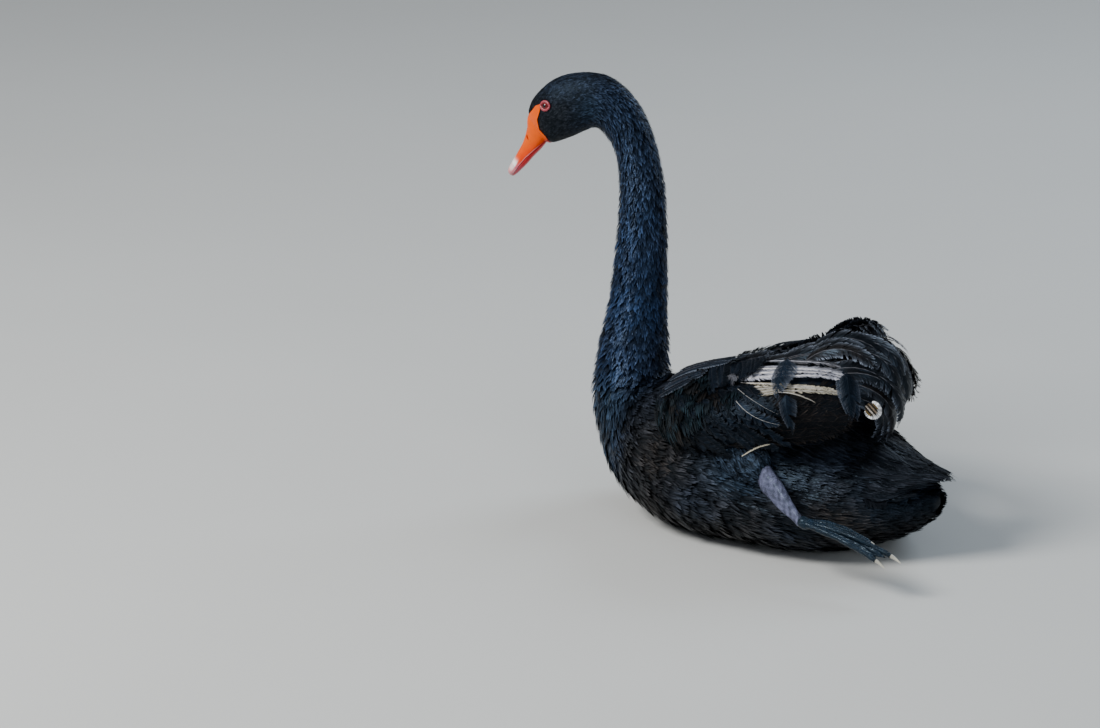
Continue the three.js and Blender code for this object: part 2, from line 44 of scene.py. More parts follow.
# Camera, floor and light. The camera looks down at the swan's left front at 17 degrees through a long lens,
# as the photograph does. A pale matt floor and large soft lamps make a plain studio round it.
CAMERA_PLACE = (2.4321, -4.0721, 1.6713)
CAMERA_TURN = math.radians(34.0)
CAMERA_RISE = math.radians(17.3)
CAMERA_LENS = 138.67
camera_back = Vector((math.sin(CAMERA_TURN) * math.cos(CAMERA_RISE),
                      -math.cos(CAMERA_TURN) * math.cos(CAMERA_RISE), math.sin(CAMERA_RISE)))
camera_right = Vector((math.cos(CAMERA_TURN), math.sin(CAMERA_TURN), 0.0))
camera_up = camera_back.cross(camera_right)
camera = bpy.data.objects.new("camera", bpy.data.cameras.new("camera"))
camera.data.lens = CAMERA_LENS
camera.data.sensor_width = 36.0
camera.data.clip_end = 100.0
camera.matrix_world = Matrix((camera_right, camera_up, camera_back)).transposed().to_4x4()
camera.location = CAMERA_PLACE
scene.collection.objects.link(camera)
scene.camera = camera


def soft_lamp(name, place, aim, size, power, colour):
    lamp = bpy.data.objects.new(name, bpy.data.lights.new(name, "AREA"))
    lamp.data.shape = "DISK"
    lamp.data.size = size
    lamp.data.energy = power
    lamp.data.color = colour
    lamp.location = place
    lamp.rotation_euler = (Vector(aim) - Vector(place)).to_track_quat("-Z", "Y").to_euler()
    scene.collection.objects.link(lamp)
    return lamp


soft_lamp("lamp_key", (-1.6, -2.6, 3.0), (0, 0, 0.2), 1.8, 230, (1.0, 0.98, 0.95))
soft_lamp("lamp_fill", (3.2, -2.2, 1.6), (0, 0, 0.2), 2.2, 40, (0.86, 0.93, 1.0))
soft_lamp("lamp_rim", (0.6, 2.8, 2.4), (0, 0, 0.25), 2.2, 60, (0.75, 0.87, 1.0))
world = bpy.data.worlds.new("studio")
world.use_nodes = True
world.node_tree.nodes["Background"].inputs["Color"].default_value = (0.74, 0.79, 0.86, 1)
world.node_tree.nodes["Background"].inputs["Strength"].default_value = 0.33
scene.world = world


def paint(name):
    """A new material and its node tree, with the surface shader ready."""
    material = bpy.data.materials.new(name)
    material.use_nodes = True
    return material, material.node_tree, material.node_tree.nodes["Principled BSDF"]


def add_node(tree, kind, values=None, **settings):
    """A node with its settings, and its input values by name or number."""
    made = tree.nodes.new(kind)
    for key, value in settings.items():
        setattr(made, key, value)
    for key, value in (values or {}).items():
        made.inputs[key].default_value = value
    return made


def join(tree, start, out, end, into):
    tree.links.new(start.outputs[out], end.inputs[into])


floor_mesh = bpy.data.meshes.new("floor")
floor_mesh.from_pydata([(-9, -9, 0), (9, -9, 0), (9, 9, 0), (-9, 9, 0)], [], [(0, 1, 2, 3)])
floor = bpy.data.objects.new("floor", floor_mesh)
scene.collection.objects.link(floor)
floor_paint, tree, shader = paint("floor_paint")
shader.inputs["Roughness"].default_value = 0.75
where = add_node(tree, "ShaderNodeTexCoord")
mottle = add_node(tree, "ShaderNodeTexNoise", {"Scale": 1.3, "Detail": 4.0})
tones = add_node(tree, "ShaderNodeValToRGB")
tones.color_ramp.elements[0].color = (0.50, 0.51, 0.50, 1)
tones.color_ramp.elements[1].color = (0.56, 0.57, 0.56, 1)
join(tree, where, "Object", mottle, "Vector")
join(tree, mottle, "Fac", tones, "Fac")
join(tree, tones, "Color", shader, "Base Color")
floor_mesh.materials.append(floor_paint)

# Skin: the swan's body from the rump over the breast and up the neck to the brow, one piece under the coat.
# It is bare black skin with feather roots, and the head of it is turned 26 degrees to the left.
COAT_DEPTH = [(0.0, 5.0), (3.0, 7.0), (8.0, 6.5), (10.5, 5.0), (14.0, 3.6), (18.0, 2.6), (21.0, 1.7), (26.0, 1.0)]
NECK_X = -184.0
HEAD_TURN = math.radians(26.0)
TORSO = [
    (223, 50, 227, 84, 14, 2.0, 0, 0), (196, 28, 202, 96, 46, 2.1, -0.1, 0),
    (151, 9, 151, 122, 94, 2.15, -0.15, 0), (85, -3, 85, 154, 122, 2.4, -0.18, 0),
    (10, -5, 10, 169, 131, 2.5, -0.18, 0), (-65, -5, -57, 170, 127, 2.5, -0.18, 0),
    (-136, 8, -108, 166, 111, 2.35, -0.15, 0), (-188, 34, -134, 159, 87, 2.2, -0.1, 0),
    (-222, 68, -146, 155, 66, 2.05, -0.05, 0), (-239, 105, -151, 156, 53, 2.0, 0, 0)]
NECK = [
    (-242, 142, -152, 166, 46, 2, 0, 0), (-234, 192, -152.5, 195, 40, 2, 0, 0),
    (-223, 242, -153, 243, 35, 2, 0, 0), (-214.5, 305, -153, 306, 30.5, 2, 0, 0),
    (-211, 345, -154, 348, 28.5, 2, 0, 0), (-210, 378, -156.5, 383, 27, 2, 0, 0),
    (-212, 407, -163, 415, 25, 2, 0, 0.08), (-217, 425, -171, 443, 25, 2, 0, 0.2),
    (-224, 438, -182, 470, 25.5, 2, 0, 0.4), (-232, 448, -200, 496, 26, 2, 0, 0.65),
    (-239, 453, -223, 514, 26.5, 2, 0, 0.85)]
HEAD = [
    (-250, 450, -247, 520, 27, 2, 0, 1), (-264, 443, -272, 517, 28.5, 2.1, 0, 1),
    (-279, 437, -291, 509, 28.5, 2.15, 0, 1), (-289, 434, -305, 497, 25, 2.2, -0.1, 1),
    (-296, 435, -315, 484, 19.5, 2.2, -0.1, 1), (-301, 440, -319.5, 471, 13, 2.1, 0, 1)]
SECTIONS = np.array(TORSO + NECK + HEAD, float)
LAST_SECTION = len(SECTIONS) - 1


def smooth_rows(rows, at):
    """Rows of numbers read at any places between them, along a smooth line through them all."""
    rows = np.asarray(rows, float)
    at = np.asarray(at, float)
    whole = np.clip(np.floor(at).astype(int), 0, len(rows) - 2)
    t = (at - whole)[..., None]
    b = rows[whole]
    c = rows[whole + 1]
    a = np.where((whole > 0)[..., None], rows[np.maximum(whole - 1, 0)], 2 * b - c)
    d = np.where((whole < len(rows) - 2)[..., None], rows[np.minimum(whole + 2, len(rows) - 1)], 2 * c - b)
    inside = b + 0.5 * t * (c - a + (2 * a - 5 * b + 4 * c - d) * t + (3 * b - a - 3 * c + d) * t ** 2)
    before = b + t * (c - a) / 2
    after = c + (t - 1) * (d - b) / 2
    return np.where(t < 0, before, np.where(t > 1, after, inside))


def ramp(pairs, at):
    return np.interp(at, [p[0] for p in pairs], [p[1] for p in pairs])


def section_rings(rows, at, around, turned=True):
    """Rings of points across the body at the given places, evenly spaced round each ring from the underside."""
    angle = (np.linspace(0, 2 * math.pi, 720, endpoint=False))[None, :]
    front_x, front_z, back_x, back_z, half, square, shift, share = [
        v[:, None] for v in np.moveaxis(smooth_rows(rows, at), -1, 0)]
    rise = -np.sign(np.cos(angle)) * np.abs(np.cos(angle)) ** (2 / square)
    out = np.sign(np.sin(angle)) * np.abs(np.sin(angle)) ** (2 / square)
    x = (front_x + back_x) / 2 + (back_x - front_x) / 2 * rise
    z = (front_z + back_z) / 2 + (back_z - front_z) / 2 * rise
    y = half * out * (1 + shift * rise)
    if turned:
        turn = HEAD_TURN * share
        x, y = (NECK_X + (x - NECK_X) * np.cos(turn) - y * np.sin(turn),
                (x - NECK_X) * np.sin(turn) + y * np.cos(turn))
    fine = np.stack([x, y, z], -1)
    closed = np.concatenate([fine, fine[:, :1]], 1)
    rings = np.empty((len(fine), around, 3))
    for i, ring in enumerate(closed):
        length = np.concatenate([[0], np.cumsum(np.linalg.norm(np.diff(ring, axis=0), axis=1))])
        place = np.linspace(0, length[-1], around, endpoint=False)
        for axis in range(3):
            rings[i, :, axis] = np.interp(place, length, ring[:, axis])
    return rings


class Surface:
    """A curved face read by two measures from 0 to 1: how far along it (a) and how far across or round it (b)."""

    def __init__(self, points, wraps):
        self.wraps = wraps
        self.points = points
        rows, columns = points.shape[:2]
        wide = np.concatenate([points[:, -1:], points, points[:, :1]], 1) if wraps else points
        along = np.gradient(points, axis=0) * (rows - 1)
        across = np.gradient(wide, axis=1)
        across = across[:, 1:-1] * columns if wraps else across * (columns - 1)
        normal = np.cross(along, across)
        normal /= np.linalg.norm(normal, axis=-1, keepdims=True) + 1e-9
        self.normals = normal
        speeds = np.stack([np.linalg.norm(along, axis=-1), np.linalg.norm(across, axis=-1)], -1)
        self.data = np.concatenate([points, self.normals, np.maximum(speeds, 1e-3)], -1)

    def at(self, a, b):
        """Places, outward directions and lengths of both measures, at a and b."""
        rows, columns = self.data.shape[:2]
        i = np.clip(a, 0, 1) * (rows - 1)
        i0 = np.minimum(i.astype(int), rows - 2)
        fi = (i - i0)[..., None]
        if self.wraps:
            j = np.mod(b, 1) * columns
            j0 = j.astype(int) % columns
            j1 = (j0 + 1) % columns
            fj = (j - np.floor(j))[..., None]
        else:
            j = np.clip(b, 0, 1) * (columns - 1)
            j0 = np.minimum(j.astype(int), columns - 2)
            j1 = j0 + 1
            fj = (j - j0)[..., None]
        d = self.data
        read = ((d[i0, j0] * (1 - fj) + d[i0, j1] * fj) * (1 - fi)
                + (d[i0 + 1, j0] * (1 - fj) + d[i0 + 1, j1] * fj) * fi)
        place = read[..., :3]
        normal = read[..., 3:6] / (np.linalg.norm(read[..., 3:6], axis=-1, keepdims=True) + 1e-9)
        over_a = (np.asarray(a) - np.clip(a, 0, 1))[..., None]
        end = d[np.where(over_a[..., 0] > 0, rows - 1, 0), j0, :3] - d[np.where(
            over_a[..., 0] > 0, rows - 2, 1), j0, :3]
        place = place + np.abs(over_a) * (rows - 1) * end
        if not self.wraps:
            over_b = (np.asarray(b) - np.clip(b, 0, 1))[..., None]
            side = d[i0, np.where(over_b[..., 0] > 0, columns - 1, 0), :3] - d[i0, np.where(
                over_b[..., 0] > 0, columns - 2, 1), :3]
            place = place + np.abs(over_b) * (columns - 1) * side
        return place, normal, read[..., 6], read[..., 7]


def mesh_piece(name, points, faces, material, smooth=True, uv=None, colours=None):
    """A piece from points in millimetres and faces of three or four corners, with its own maps."""
    points = np.asarray(points, np.float32)
    faces = np.asarray(faces, np.int32)
    mesh = bpy.data.meshes.new(name)
    corners = faces.shape[1]
    mesh.vertices.add(len(points))
    mesh.vertices.foreach_set("co", (points * MM).ravel())
    mesh.loops.add(faces.size)
    mesh.loops.foreach_set("vertex_index", faces.ravel())
    mesh.polygons.add(len(faces))
    mesh.polygons.foreach_set("loop_start", np.arange(0, faces.size, corners, dtype=np.int32))
    mesh.polygons.foreach_set("use_smooth", np.full(len(faces), smooth))
    mesh.update(calc_edges=True)
    if uv is not None:
        layer = mesh.uv_layers.new(name="OFBake")
        layer.uv.foreach_set("vector", np.asarray(uv, np.float32)[faces.ravel()].ravel())
    for key, values in (colours or {}).items():
        attribute = mesh.attributes.new(key, "FLOAT_COLOR", "POINT")
        full = np.ones((len(points), 4), np.float32)
        full[:, :values.shape[1]] = values
        attribute.data.foreach_set("color", full.ravel())
    mesh.materials.append(material)
    piece = bpy.data.objects.new(name, mesh)
    scene.collection.objects.link(piece)
    return piece


SKIN_ROWS = 420
SKIN_AROUND = 160
section_place = np.linspace(0, LAST_SECTION, SKIN_ROWS)
body_rings = section_rings(SECTIONS, section_place, SKIN_AROUND)
body_form = Surface(body_rings, wraps=True)
coat_depth = ramp(COAT_DEPTH, section_place)[:, None, None]
skin_rings = body_rings - body_form.normals * coat_depth
skin_rings[..., 2] = np.maximum(skin_rings[..., 2], 1.2)
body = Surface(skin_rings, wraps=True)


def ringed_faces(rows, columns, wraps):
    """Four-cornered faces over a sheet or tube of points laid in rows."""
    i, j = np.meshgrid(np.arange(rows - 1), np.arange(columns if wraps else columns - 1), indexing="ij")
    after = (j + 1) % columns
    return np.stack([i * columns + j, i * columns + after, (i + 1) * columns + after, (i + 1) * columns + j],
                    -1).reshape(-1, 4)


def markings(points):
    """Colour of the coat and of the skin under it: blue-black on neck and breast, browner on the flanks, with painted
    sheen in soft light-blue patches and painted shade under the tail.
    """
    x, y, z = np.moveaxis(points, -1, 0)
    blue = np.clip((z - 120) / 160, 0, 1) * 0.8 + np.clip((-150 - x) / 70, 0, 1) * 0.95
    wave = 0.5 + 0.5 * np.sin(x * 0.031 + 1.7 * np.sin(z * 0.027 + y * 0.013)) * np.cos(z * 0.041 - x * 0.017)
    blue = np.clip(blue * (0.55 + 0.6 * wave) + 0.18 * wave, 0, 1)
    blue = blue * (1 - 0.45 * np.clip((-208 - x) / 20, 0, 1) * np.clip((z - 440) / 30, 0, 1))
    cheek = np.clip((-232 - x) / 25, 0, 1) * np.clip((500 - z) / 18, 0, 1) * np.clip((z - 400) / 20, 0, 1)
    blue = (blue * (1 - 0.9 * cheek))[..., None]
    brown = (np.clip((150 - z) / 60, 0, 1) * np.clip((x + 170) / 60, 0, 1) * (1 - wave))[..., None]
    high = np.clip((z - 300) / 90, 0, 1)[..., None]
    deep = np.array([0.0060, 0.0125, 0.0300]) * (1 - high) + np.array([0.0072, 0.0125, 0.0250]) * high
    base = np.array([0.0062, 0.0068, 0.0080]) * (1 - blue) + deep * blue
    base = base * (1 - brown) + np.array([0.0105, 0.0085, 0.0068]) * brown
    # Painted sheen: soft light-blue patches over the thigh, the flank by the tail, the low breast and the rear of the
    # cheek.
    painted_sheen = np.exp(-((x - 15) / 50) ** 2 - ((z - 98) / 25) ** 2) + 0.7 * np.exp(
        -((x - 170) / 35) ** 2 - ((z - 95) / 25) ** 2)
    painted_sheen = painted_sheen + 0.9 * np.clip((-165 - x) / 30, 0, 1) * np.clip((180 - z) / 40, 0, 1)
    painted_sheen = painted_sheen + 0.8 * np.exp(-((x + 231) / 10) ** 2 - ((z - 481) / 14) ** 2)
    painted_sheen = np.clip(painted_sheen, 0, 1)[..., None]
    painted_sheen_colour = np.array([0.0105, 0.0190, 0.0330])
    # Painted shade: the coat is darker under the tail.
    painted_tail_shade = 1 - 0.55 * np.clip((x - 160) / 25, 0, 1) * np.clip((92 - z) / 12, 0, 1)
    return (base * (1 - painted_sheen) + painted_sheen_colour * painted_sheen) * painted_tail_shade[..., None]


# Shared effect: fine barbs that run out and forward from a feather's shaft, as tone and height.
barbs = bpy.data.node_groups.new("barbs", "ShaderNodeTree")
barbs.interface.new_socket("Along", in_out="INPUT", socket_type="NodeSocketFloat")
barbs.interface.new_socket("Across", in_out="INPUT", socket_type="NodeSocketFloat")
barbs.interface.new_socket("Count", in_out="INPUT", socket_type="NodeSocketFloat").default_value = 60.0
barbs.interface.new_socket("Slant", in_out="INPUT", socket_type="NodeSocketFloat").default_value = 0.4
barbs.interface.new_socket("Tone", in_out="OUTPUT", socket_type="NodeSocketFloat")
inputs = add_node(barbs, "NodeGroupInput")
outputs = add_node(barbs, "NodeGroupOutput")
slanted = add_node(barbs, "ShaderNodeMath", operation="MULTIPLY")
forward = add_node(barbs, "ShaderNodeMath", operation="SUBTRACT")
counted = add_node(barbs, "ShaderNodeMath", operation="MULTIPLY")
wave_line = add_node(barbs, "ShaderNodeMath", operation="SINE")
half_tone = add_node(barbs, "ShaderNodeMath", {1: 0.5, 2: 0.5}, operation="MULTIPLY_ADD")
join(barbs, inputs, "Across", slanted, 0)
join(barbs, inputs, "Slant", slanted, 1)
join(barbs, inputs, "Along", forward, 0)
join(barbs, slanted, 0, forward, 1)
join(barbs, forward, 0, counted, 0)
join(barbs, inputs, "Count", counted, 1)
join(barbs, counted, 0, wave_line, 0)
join(barbs, wave_line, 0, half_tone, 0)
join(barbs, half_tone, 0, outputs, "Tone")


def feather_paint(name, roughness, sheen, count, lift=1.0, gloss=0.22):
    """Feather material: the coat's marking, streaked along each feather and lined by its barbs."""
    material, tree, shader = paint(name)
    tint = add_node(tree, "ShaderNodeAttribute", attribute_name="tint")
    lay = add_node(tree, "ShaderNodeAttribute", attribute_name="lay")
    parts = add_node(tree, "ShaderNodeSeparateColor")
    lined = add_node(tree, "ShaderNodeGroup", {"Count": count, "Slant": 0.35}, node_tree=barbs)
    where = add_node(tree, "ShaderNodeTexCoord")
    blotch = add_node(tree, "ShaderNodeTexNoise", {"Scale": 55.0, "Detail": 3.0, "Roughness": 0.6})
    spread = add_node(tree, "ShaderNodeMapRange", {"To Min": 0.62 * lift, "To Max": 1.5 * lift})
    line_spread = add_node(tree, "ShaderNodeMapRange", {"To Min": 0.82, "To Max": 1.12})
    both = add_node(tree, "ShaderNodeMath", operation="MULTIPLY")
    shaded = add_node(tree, "ShaderNodeVectorMath", operation="SCALE")
    bump = add_node(tree, "ShaderNodeBump", {"Strength": 0.35, "Distance": 0.0004})
    rough = add_node(tree, "ShaderNodeMapRange", {"To Min": roughness - 0.07, "To Max": roughness + 0.1})
    join(tree, lay, "Color", parts, "Color")
    join(tree, parts, "Red", lined, "Along")
    join(tree, parts, "Green", lined, "Across")
    join(tree, where, "Object", blotch, "Vector")
    join(tree, blotch, "Fac", spread, "Value")
    join(tree, lined, "Tone", line_spread, "Value")
    join(tree, spread, "Result", both, 0)
    join(tree, line_spread, "Result", both, 1)
    join(tree, tint, "Color", shaded, 0)
    join(tree, both, 0, shaded, "Scale")
    join(tree, shaded, "Vector", shader, "Base Color")
    join(tree, lined, "Tone", bump, "Height")
    join(tree, bump, "Normal", shader, "Normal")
    join(tree, blotch, "Fac", rough, "Value")
    join(tree, rough, "Result", shader, "Roughness")
    shader.inputs["Specular IOR Level"].default_value = gloss
    shader.inputs["Specular Tint"].default_value = (0.50, 0.72, 1.0, 1)
    shader.inputs["Sheen Weight"].default_value = sheen
    shader.inputs["Sheen Roughness"].default_value = 0.4
    shader.inputs["Sheen Tint"].default_value = (0.45, 0.62, 1.0, 1)
    return material


coat_paint = feather_paint("body_feather", 0.42, 0.0, 26.0, gloss=0.20)
neck_paint = feather_paint("neck_feather", 0.36, 0.0, 18.0, gloss=0.24)
neck_paint.node_tree.nodes["Principled BSDF"].inputs["Specular Tint"].default_value = (0.40, 0.60, 1.0, 1)
head_paint = feather_paint("head_feather", 0.50, 0.0, 18.0, gloss=0.18)

skin_faces = ringed_faces(SKIN_ROWS, SKIN_AROUND, True)[:, ::-1]
skin_points = skin_rings.reshape(-1, 3)
tail_end = len(skin_points)
brow_end = tail_end + 1
skin_points = np.concatenate([skin_points, [skin_rings[0].mean(0) + [6, 0, 0], skin_rings[-1].mean(0)]])
ring_index = np.arange(SKIN_AROUND)
next_index = (ring_index + 1) % SKIN_AROUND
first_lid = np.stack([ring_index, next_index, np.full(SKIN_AROUND, tail_end)], 1)
last_ring = (SKIN_ROWS - 1) * SKIN_AROUND
last_lid = np.stack([last_ring + next_index, last_ring + ring_index, np.full(SKIN_AROUND, brow_end)], 1)
triangles = np.concatenate([skin_faces[:, [0, 1, 2]], skin_faces[:, [0, 2, 3]], first_lid,
                            last_lid])
skin_uv = np.stack(np.meshgrid(np.arange(SKIN_ROWS) / (SKIN_ROWS - 1), np.arange(SKIN_AROUND) / SKIN_AROUND,
                               indexing="ij"), -1).reshape(-1, 2)
skin_uv = np.concatenate([skin_uv, [[0.0, 0.5], [1.0, 0.5]]])
# The skin takes 0.4 of the coat's marking: dark skin, darkened further as painted shade in the gaps between the
# feathers.
skin_tint = markings(skin_points) * 0.4
skin_piece = mesh_piece("swan_skin", skin_points, triangles, coat_paint, uv=skin_uv,
                        colours={"tint": skin_tint, "lay": np.zeros((len(skin_points), 3))})
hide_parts("torso", "neck_lower", "neck_middle", "neck_upper", "nape", "head")
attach(skin_piece, "root")

# Coat: contour feathers over the whole body, each a fan of narrow strips of barbs rooted in the skin and laid
# towards the tail, so that one covers the next. They are smallest on the face and longest over the thigh.
BARE_EDGE = [(-289, 424), (-292.4, 438.4), (-295.7, 445), (-303.5, 453), (-306, 465.4), (-303, 475),
             (-301.5, 484.5), (-308.5, 481), (-318.2, 467.6)]
BARE_FRONT = [(-335, 474), (-365, 400), (-335, 376)]
EYE_PLACE = (-296.0, 23.8, 483.5)


def in_head_frame(points):
    """Points turned back so that the head looks straight forward."""
    x, y, z = np.moveaxis(np.asarray(points, float), -1, 0)
    c, s = math.cos(HEAD_TURN), math.sin(HEAD_TURN)
    return np.stack([NECK_X + (x - NECK_X) * c + y * s, -(x - NECK_X) * s + y * c, z], -1)


def turned_head(points):
    x, y, z = np.moveaxis(np.asarray(points, float), -1, 0)
    c, s = math.cos(HEAD_TURN), math.sin(HEAD_TURN)
    return np.stack([NECK_X + (x - NECK_X) * c - y * s, (x - NECK_X) * s + y * c, z], -1)


def inside_outline(outline, x, z):
    """Which places in profile lie inside an outline."""
    found = np.zeros(x.shape, bool)
    for (x0, z0), (x1, z1) in zip(outline, outline[1:] + outline[:1]):
        crosses = (z0 > z) != (z1 > z)
        slope = (x1 - x0) / (z1 - z0 if z1 != z0 else 1e-9)
        found ^= crosses & (x < x0 + (z - z0) * slope)
    return found


def bare_of_feathers(points):
    straight = in_head_frame(points)
    bill = inside_outline(BARE_EDGE + BARE_FRONT, straight[..., 0] - 0.8, straight[..., 2])
    bill &= straight[..., 0] < -285
    eye = (np.hypot(straight[..., 0] - EYE_PLACE[0], straight[..., 2] - EYE_PLACE[2]) < 6.6) & (
        np.abs(straight[..., 1]) > 12)
    return bill | eye


def roots_on(face, a_range, b_range, spacing, seed, keep=None, tries=7):
    """Feather roots scattered evenly over part of a face, no two nearer than the spacing there."""
    dice = np.random.default_rng(seed)
    rows, columns = 160, 160
    a = np.linspace(*a_range, rows)
    b = np.linspace(*b_range, columns)
    aa, bb = np.meshgrid(a, b, indexing="ij")
    _, _, along, across = face.at(aa, bb)
    gap = spacing(aa, bb) if callable(spacing) else np.full(aa.shape, float(spacing))
    cell = along * (a_range[1] - a_range[0]) / rows * across * (b_range[1] - b_range[0]) / columns
    wish = np.abs(cell) / gap ** 2
    total = int(wish.sum() * tries)
    pick = dice.choice(aa.size, total, p=(wish / wish.sum()).ravel())
    i, j = np.unravel_index(pick, aa.shape)
    ra = a[i] + dice.uniform(-0.5, 0.5, total) * (a_range[1] - a_range[0]) / rows
    rb = b[j] + dice.uniform(-0.5, 0.5, total) * (b_range[1] - b_range[0]) / columns
    place = face.at(ra, rb)[0]
    near = spacing(ra, rb) if callable(spacing) else np.full(total, float(spacing))
    allowed = np.ones(total, bool) if keep is None else keep(place, ra, rb)
    tree = KDTree(total)
    for n, p in enumerate(place):
        tree.insert(p, n)
    tree.balance()
    chosen = []
    for n in range(total):
        if not allowed[n]:
            continue
        chosen.append(n)
        for _, other, _ in tree.find_range(place[n], float(near[n])):
            allowed[other] = False
    return ra[chosen], rb[chosen]


STRIP_ALONG = np.array([0.0, 0.34, 0.7, 1.0])
STRIP_WIDE = np.array([0.75, 1.0, 0.85, 0.12])


def lay_coat(name, face, roots, length, width, lift, strips, fan, material, seed, ahead=-1, turn=0.0,
             bow=0.0, tint=None, patch=0.003, rough=1.0, streak=1.0, root_shade_tip_highlight=(0.18, 1.5, 1.8)):
    """Feathers of strips of barbs on a face. fan is how wide the strips stand at root, middle and tip."""
    dice = np.random.default_rng(seed)
    a0, b0 = roots
    count = len(a0)
    length, width, lift, turn = [np.broadcast_to(v, (count,)).astype(float) for v in (length, width, lift, turn)]
    place, _, along, across = face.at(a0, b0)
    length = length * dice.uniform(0.85, 1.15, count)
    angle = turn + dice.normal(0, 0.09 * rough, count)
    own_lift = lift * dice.uniform(0.7, 1.25, count)
    strip = np.linspace(-1, 1, strips) if strips > 1 else np.zeros(1)
    s = STRIP_ALONG[None, None, :, None]
    offset = strip[None, :, None, None] + dice.normal(0, 0.06, (count, strips, 1, 1))
    stand = np.interp(STRIP_ALONG, [0, 0.5, 1], fan)[None, None, :, None]
    half = 1.25 / strips * STRIP_WIDE[None, None, :, None] * np.interp(STRIP_ALONG, [0, 0.5, 1], [
        max(fan[0], 0.5), 1, 0.9])[None, None, :, None]
    edge = np.array([-1.0, 1.0])[None, None, None, :]
    reach = (1 - 0.24 * np.abs(offset) ** 2.2 + dice.normal(0, 0.05 * rough, (count, strips, 1, 1)))
    stray = dice.normal(0, 0.07 * rough, (count, strips, 1, 1)) * s ** 1.6
    side = (offset * stand + half * edge + stray) * width[:, None, None, None] / 2
    onward = s * reach * length[:, None, None, None]
    cos, sin = np.cos(angle)[:, None, None, None], np.sin(angle)[:, None, None, None]
    da = ahead * (onward * cos - side * sin) / along[:, None, None, None]
    db = (onward * sin + side * cos) / across[:, None, None, None]
    here, up, _, _ = face.at(a0[:, None, None, None] + da, b0[:, None, None, None] + db)
    crown = (1 - bow * (offset * stand) ** 2)
    rise = own_lift[:, None, None, None] * (0.10 + 0.9 * s ** 0.75) * crown
    tilt = dice.normal(0, 0.13 * rough, (count, strips, 1, 1)) * edge * half * width[:, None, None, None] / 2
    rise = rise + tilt + dice.uniform(-0.06, 0.06, (count, strips, 1, 1)) * own_lift[:, None, None, None]
    points = here + up * np.maximum(rise, 0.05)[..., None]
    points[..., 2] = np.maximum(points[..., 2], 0.25)
    shape = points.shape[:-1]
    flat = points.reshape(-1, 3)
    strip_total = count * strips
    base = np.arange(strip_total)[:, None] * 8
    quads = [[0, 1, 3, 2], [2, 3, 5, 4], [4, 5, 7, 6]]
    faces = (base[:, None, :] + np.array(quads)[None]).reshape(-1, 4)
    first = flat[faces[:1]][0]
    normal = np.cross(first[1] - first[0], first[3] - first[0])
    if np.dot(normal, up.reshape(-1, 3)[0]) < 0:
        faces = faces[:, ::-1]
    local = np.stack([np.broadcast_to(s, shape) - 0.5, np.broadcast_to(offset * stand + half * edge, shape) / 2], -1)
    uv = np.stack([a0, b0], -1)[:, None, None, None, :] + local * patch
    uv = np.clip(uv, 0.0005, 0.9995).reshape(-1, 2)
    shade = (markings(place) if tint is None else np.broadcast_to(tint, (count, 3)))
    shade = shade[:, None, None, None, :] * (0.25 + 2.1 * dice.uniform(0, 1, (count, 1, 1, 1, 1)) ** 1.3) * (
        1 + streak * dice.uniform(-0.6, 0.9, (count, strips, 1, 1, 1)))
    # Painted shade and highlight: each feather's strips are darker at the root and lighter towards the tip.
    shade = shade * (root_shade_tip_highlight[0] + root_shade_tip_highlight[1] * s[..., None] ** root_shade_tip_highlight[2])
    lay = np.stack([np.broadcast_to(s, shape), np.broadcast_to(np.abs(offset * stand + half * edge), shape),
                    np.broadcast_to(dice.uniform(0, 1, (count, 1, 1, 1)), shape)], -1)
    return mesh_piece(name, flat, faces, material, uv=uv, colours={
        "tint": np.broadcast_to(shade, shape + (3,)).reshape(-1, 3), "lay": lay.reshape(-1, 3)})


def at_section(t):
    return t / LAST_SECTION


def not_bare(place, a, b):
    return ~bare_of_feathers(place)


def finish_coat(piece, *nodes, slot="body_feathers"):
    if nodes:
        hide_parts(*nodes)
    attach(piece, "root")


def by_section(pairs):
    return lambda a, b: ramp(pairs, a * LAST_SECTION)


HEAD_SPACING = by_section([(20, 2.0), (23, 1.5), (26, 1.1)])
head_roots = roots_on(body, (at_section(20.3), 1.0), (0, 1), HEAD_SPACING, 3, not_bare)
head_at = head_roots[0] * LAST_SECTION
finish_coat(lay_coat("coat_head", body, head_roots, ramp([(20, 9), (23, 6.5), (26, 3.6)], head_at),
                     ramp([(20, 3.4), (23, 2.6), (26, 1.8)], head_at),
                     ramp([(20, 1.8), (23, 1.0), (26, 0.6)], head_at), 3, (0.7, 0.9, 0.45), head_paint, 4, rough=0.8))

NECK_TRACTS = [("coat_nape", 16.6, 20.6, 5), ("coat_neck_high", 13.2, 16.8, 6),
               ("coat_neck_middle", 11.2, 13.4, 8), ("coat_neck_low", 9.3, 11.4, 7)]
NECK_SPACING = by_section([(9, 5.2), (11, 4.3), (13, 3.5), (16, 2.8), (20.5, 2.1)])
for name, low, high, seed in NECK_TRACTS:
    roots = roots_on(body, (at_section(low), at_section(high)), (0, 1), NECK_SPACING, seed)
    at = roots[0] * LAST_SECTION
    finish_coat(lay_coat(name, body, roots, ramp([(9, 21), (11, 17), (13, 14), (16, 11.5), (20.5, 8)], at),
                         ramp([(9, 11), (11, 8), (13, 5.4), (16, 3.8), (20.5, 2.7)], at),
                         ramp([(9, 7.5), (11, 6.8), (13, 5.4), (16, 4.2), (20.5, 2.4)], at),
                         4, (0.9, 0.8, 0.5) if low < 12 else (0.9, 0.75, 0.24), neck_paint, seed, bow=0.35, rough=1.3,
                         streak=0.5 if low < 12 else 1.0, root_shade_tip_highlight=(0.14, 1.9, 2.2) if low < 12 else (0.08, 3.0, 3.0)))

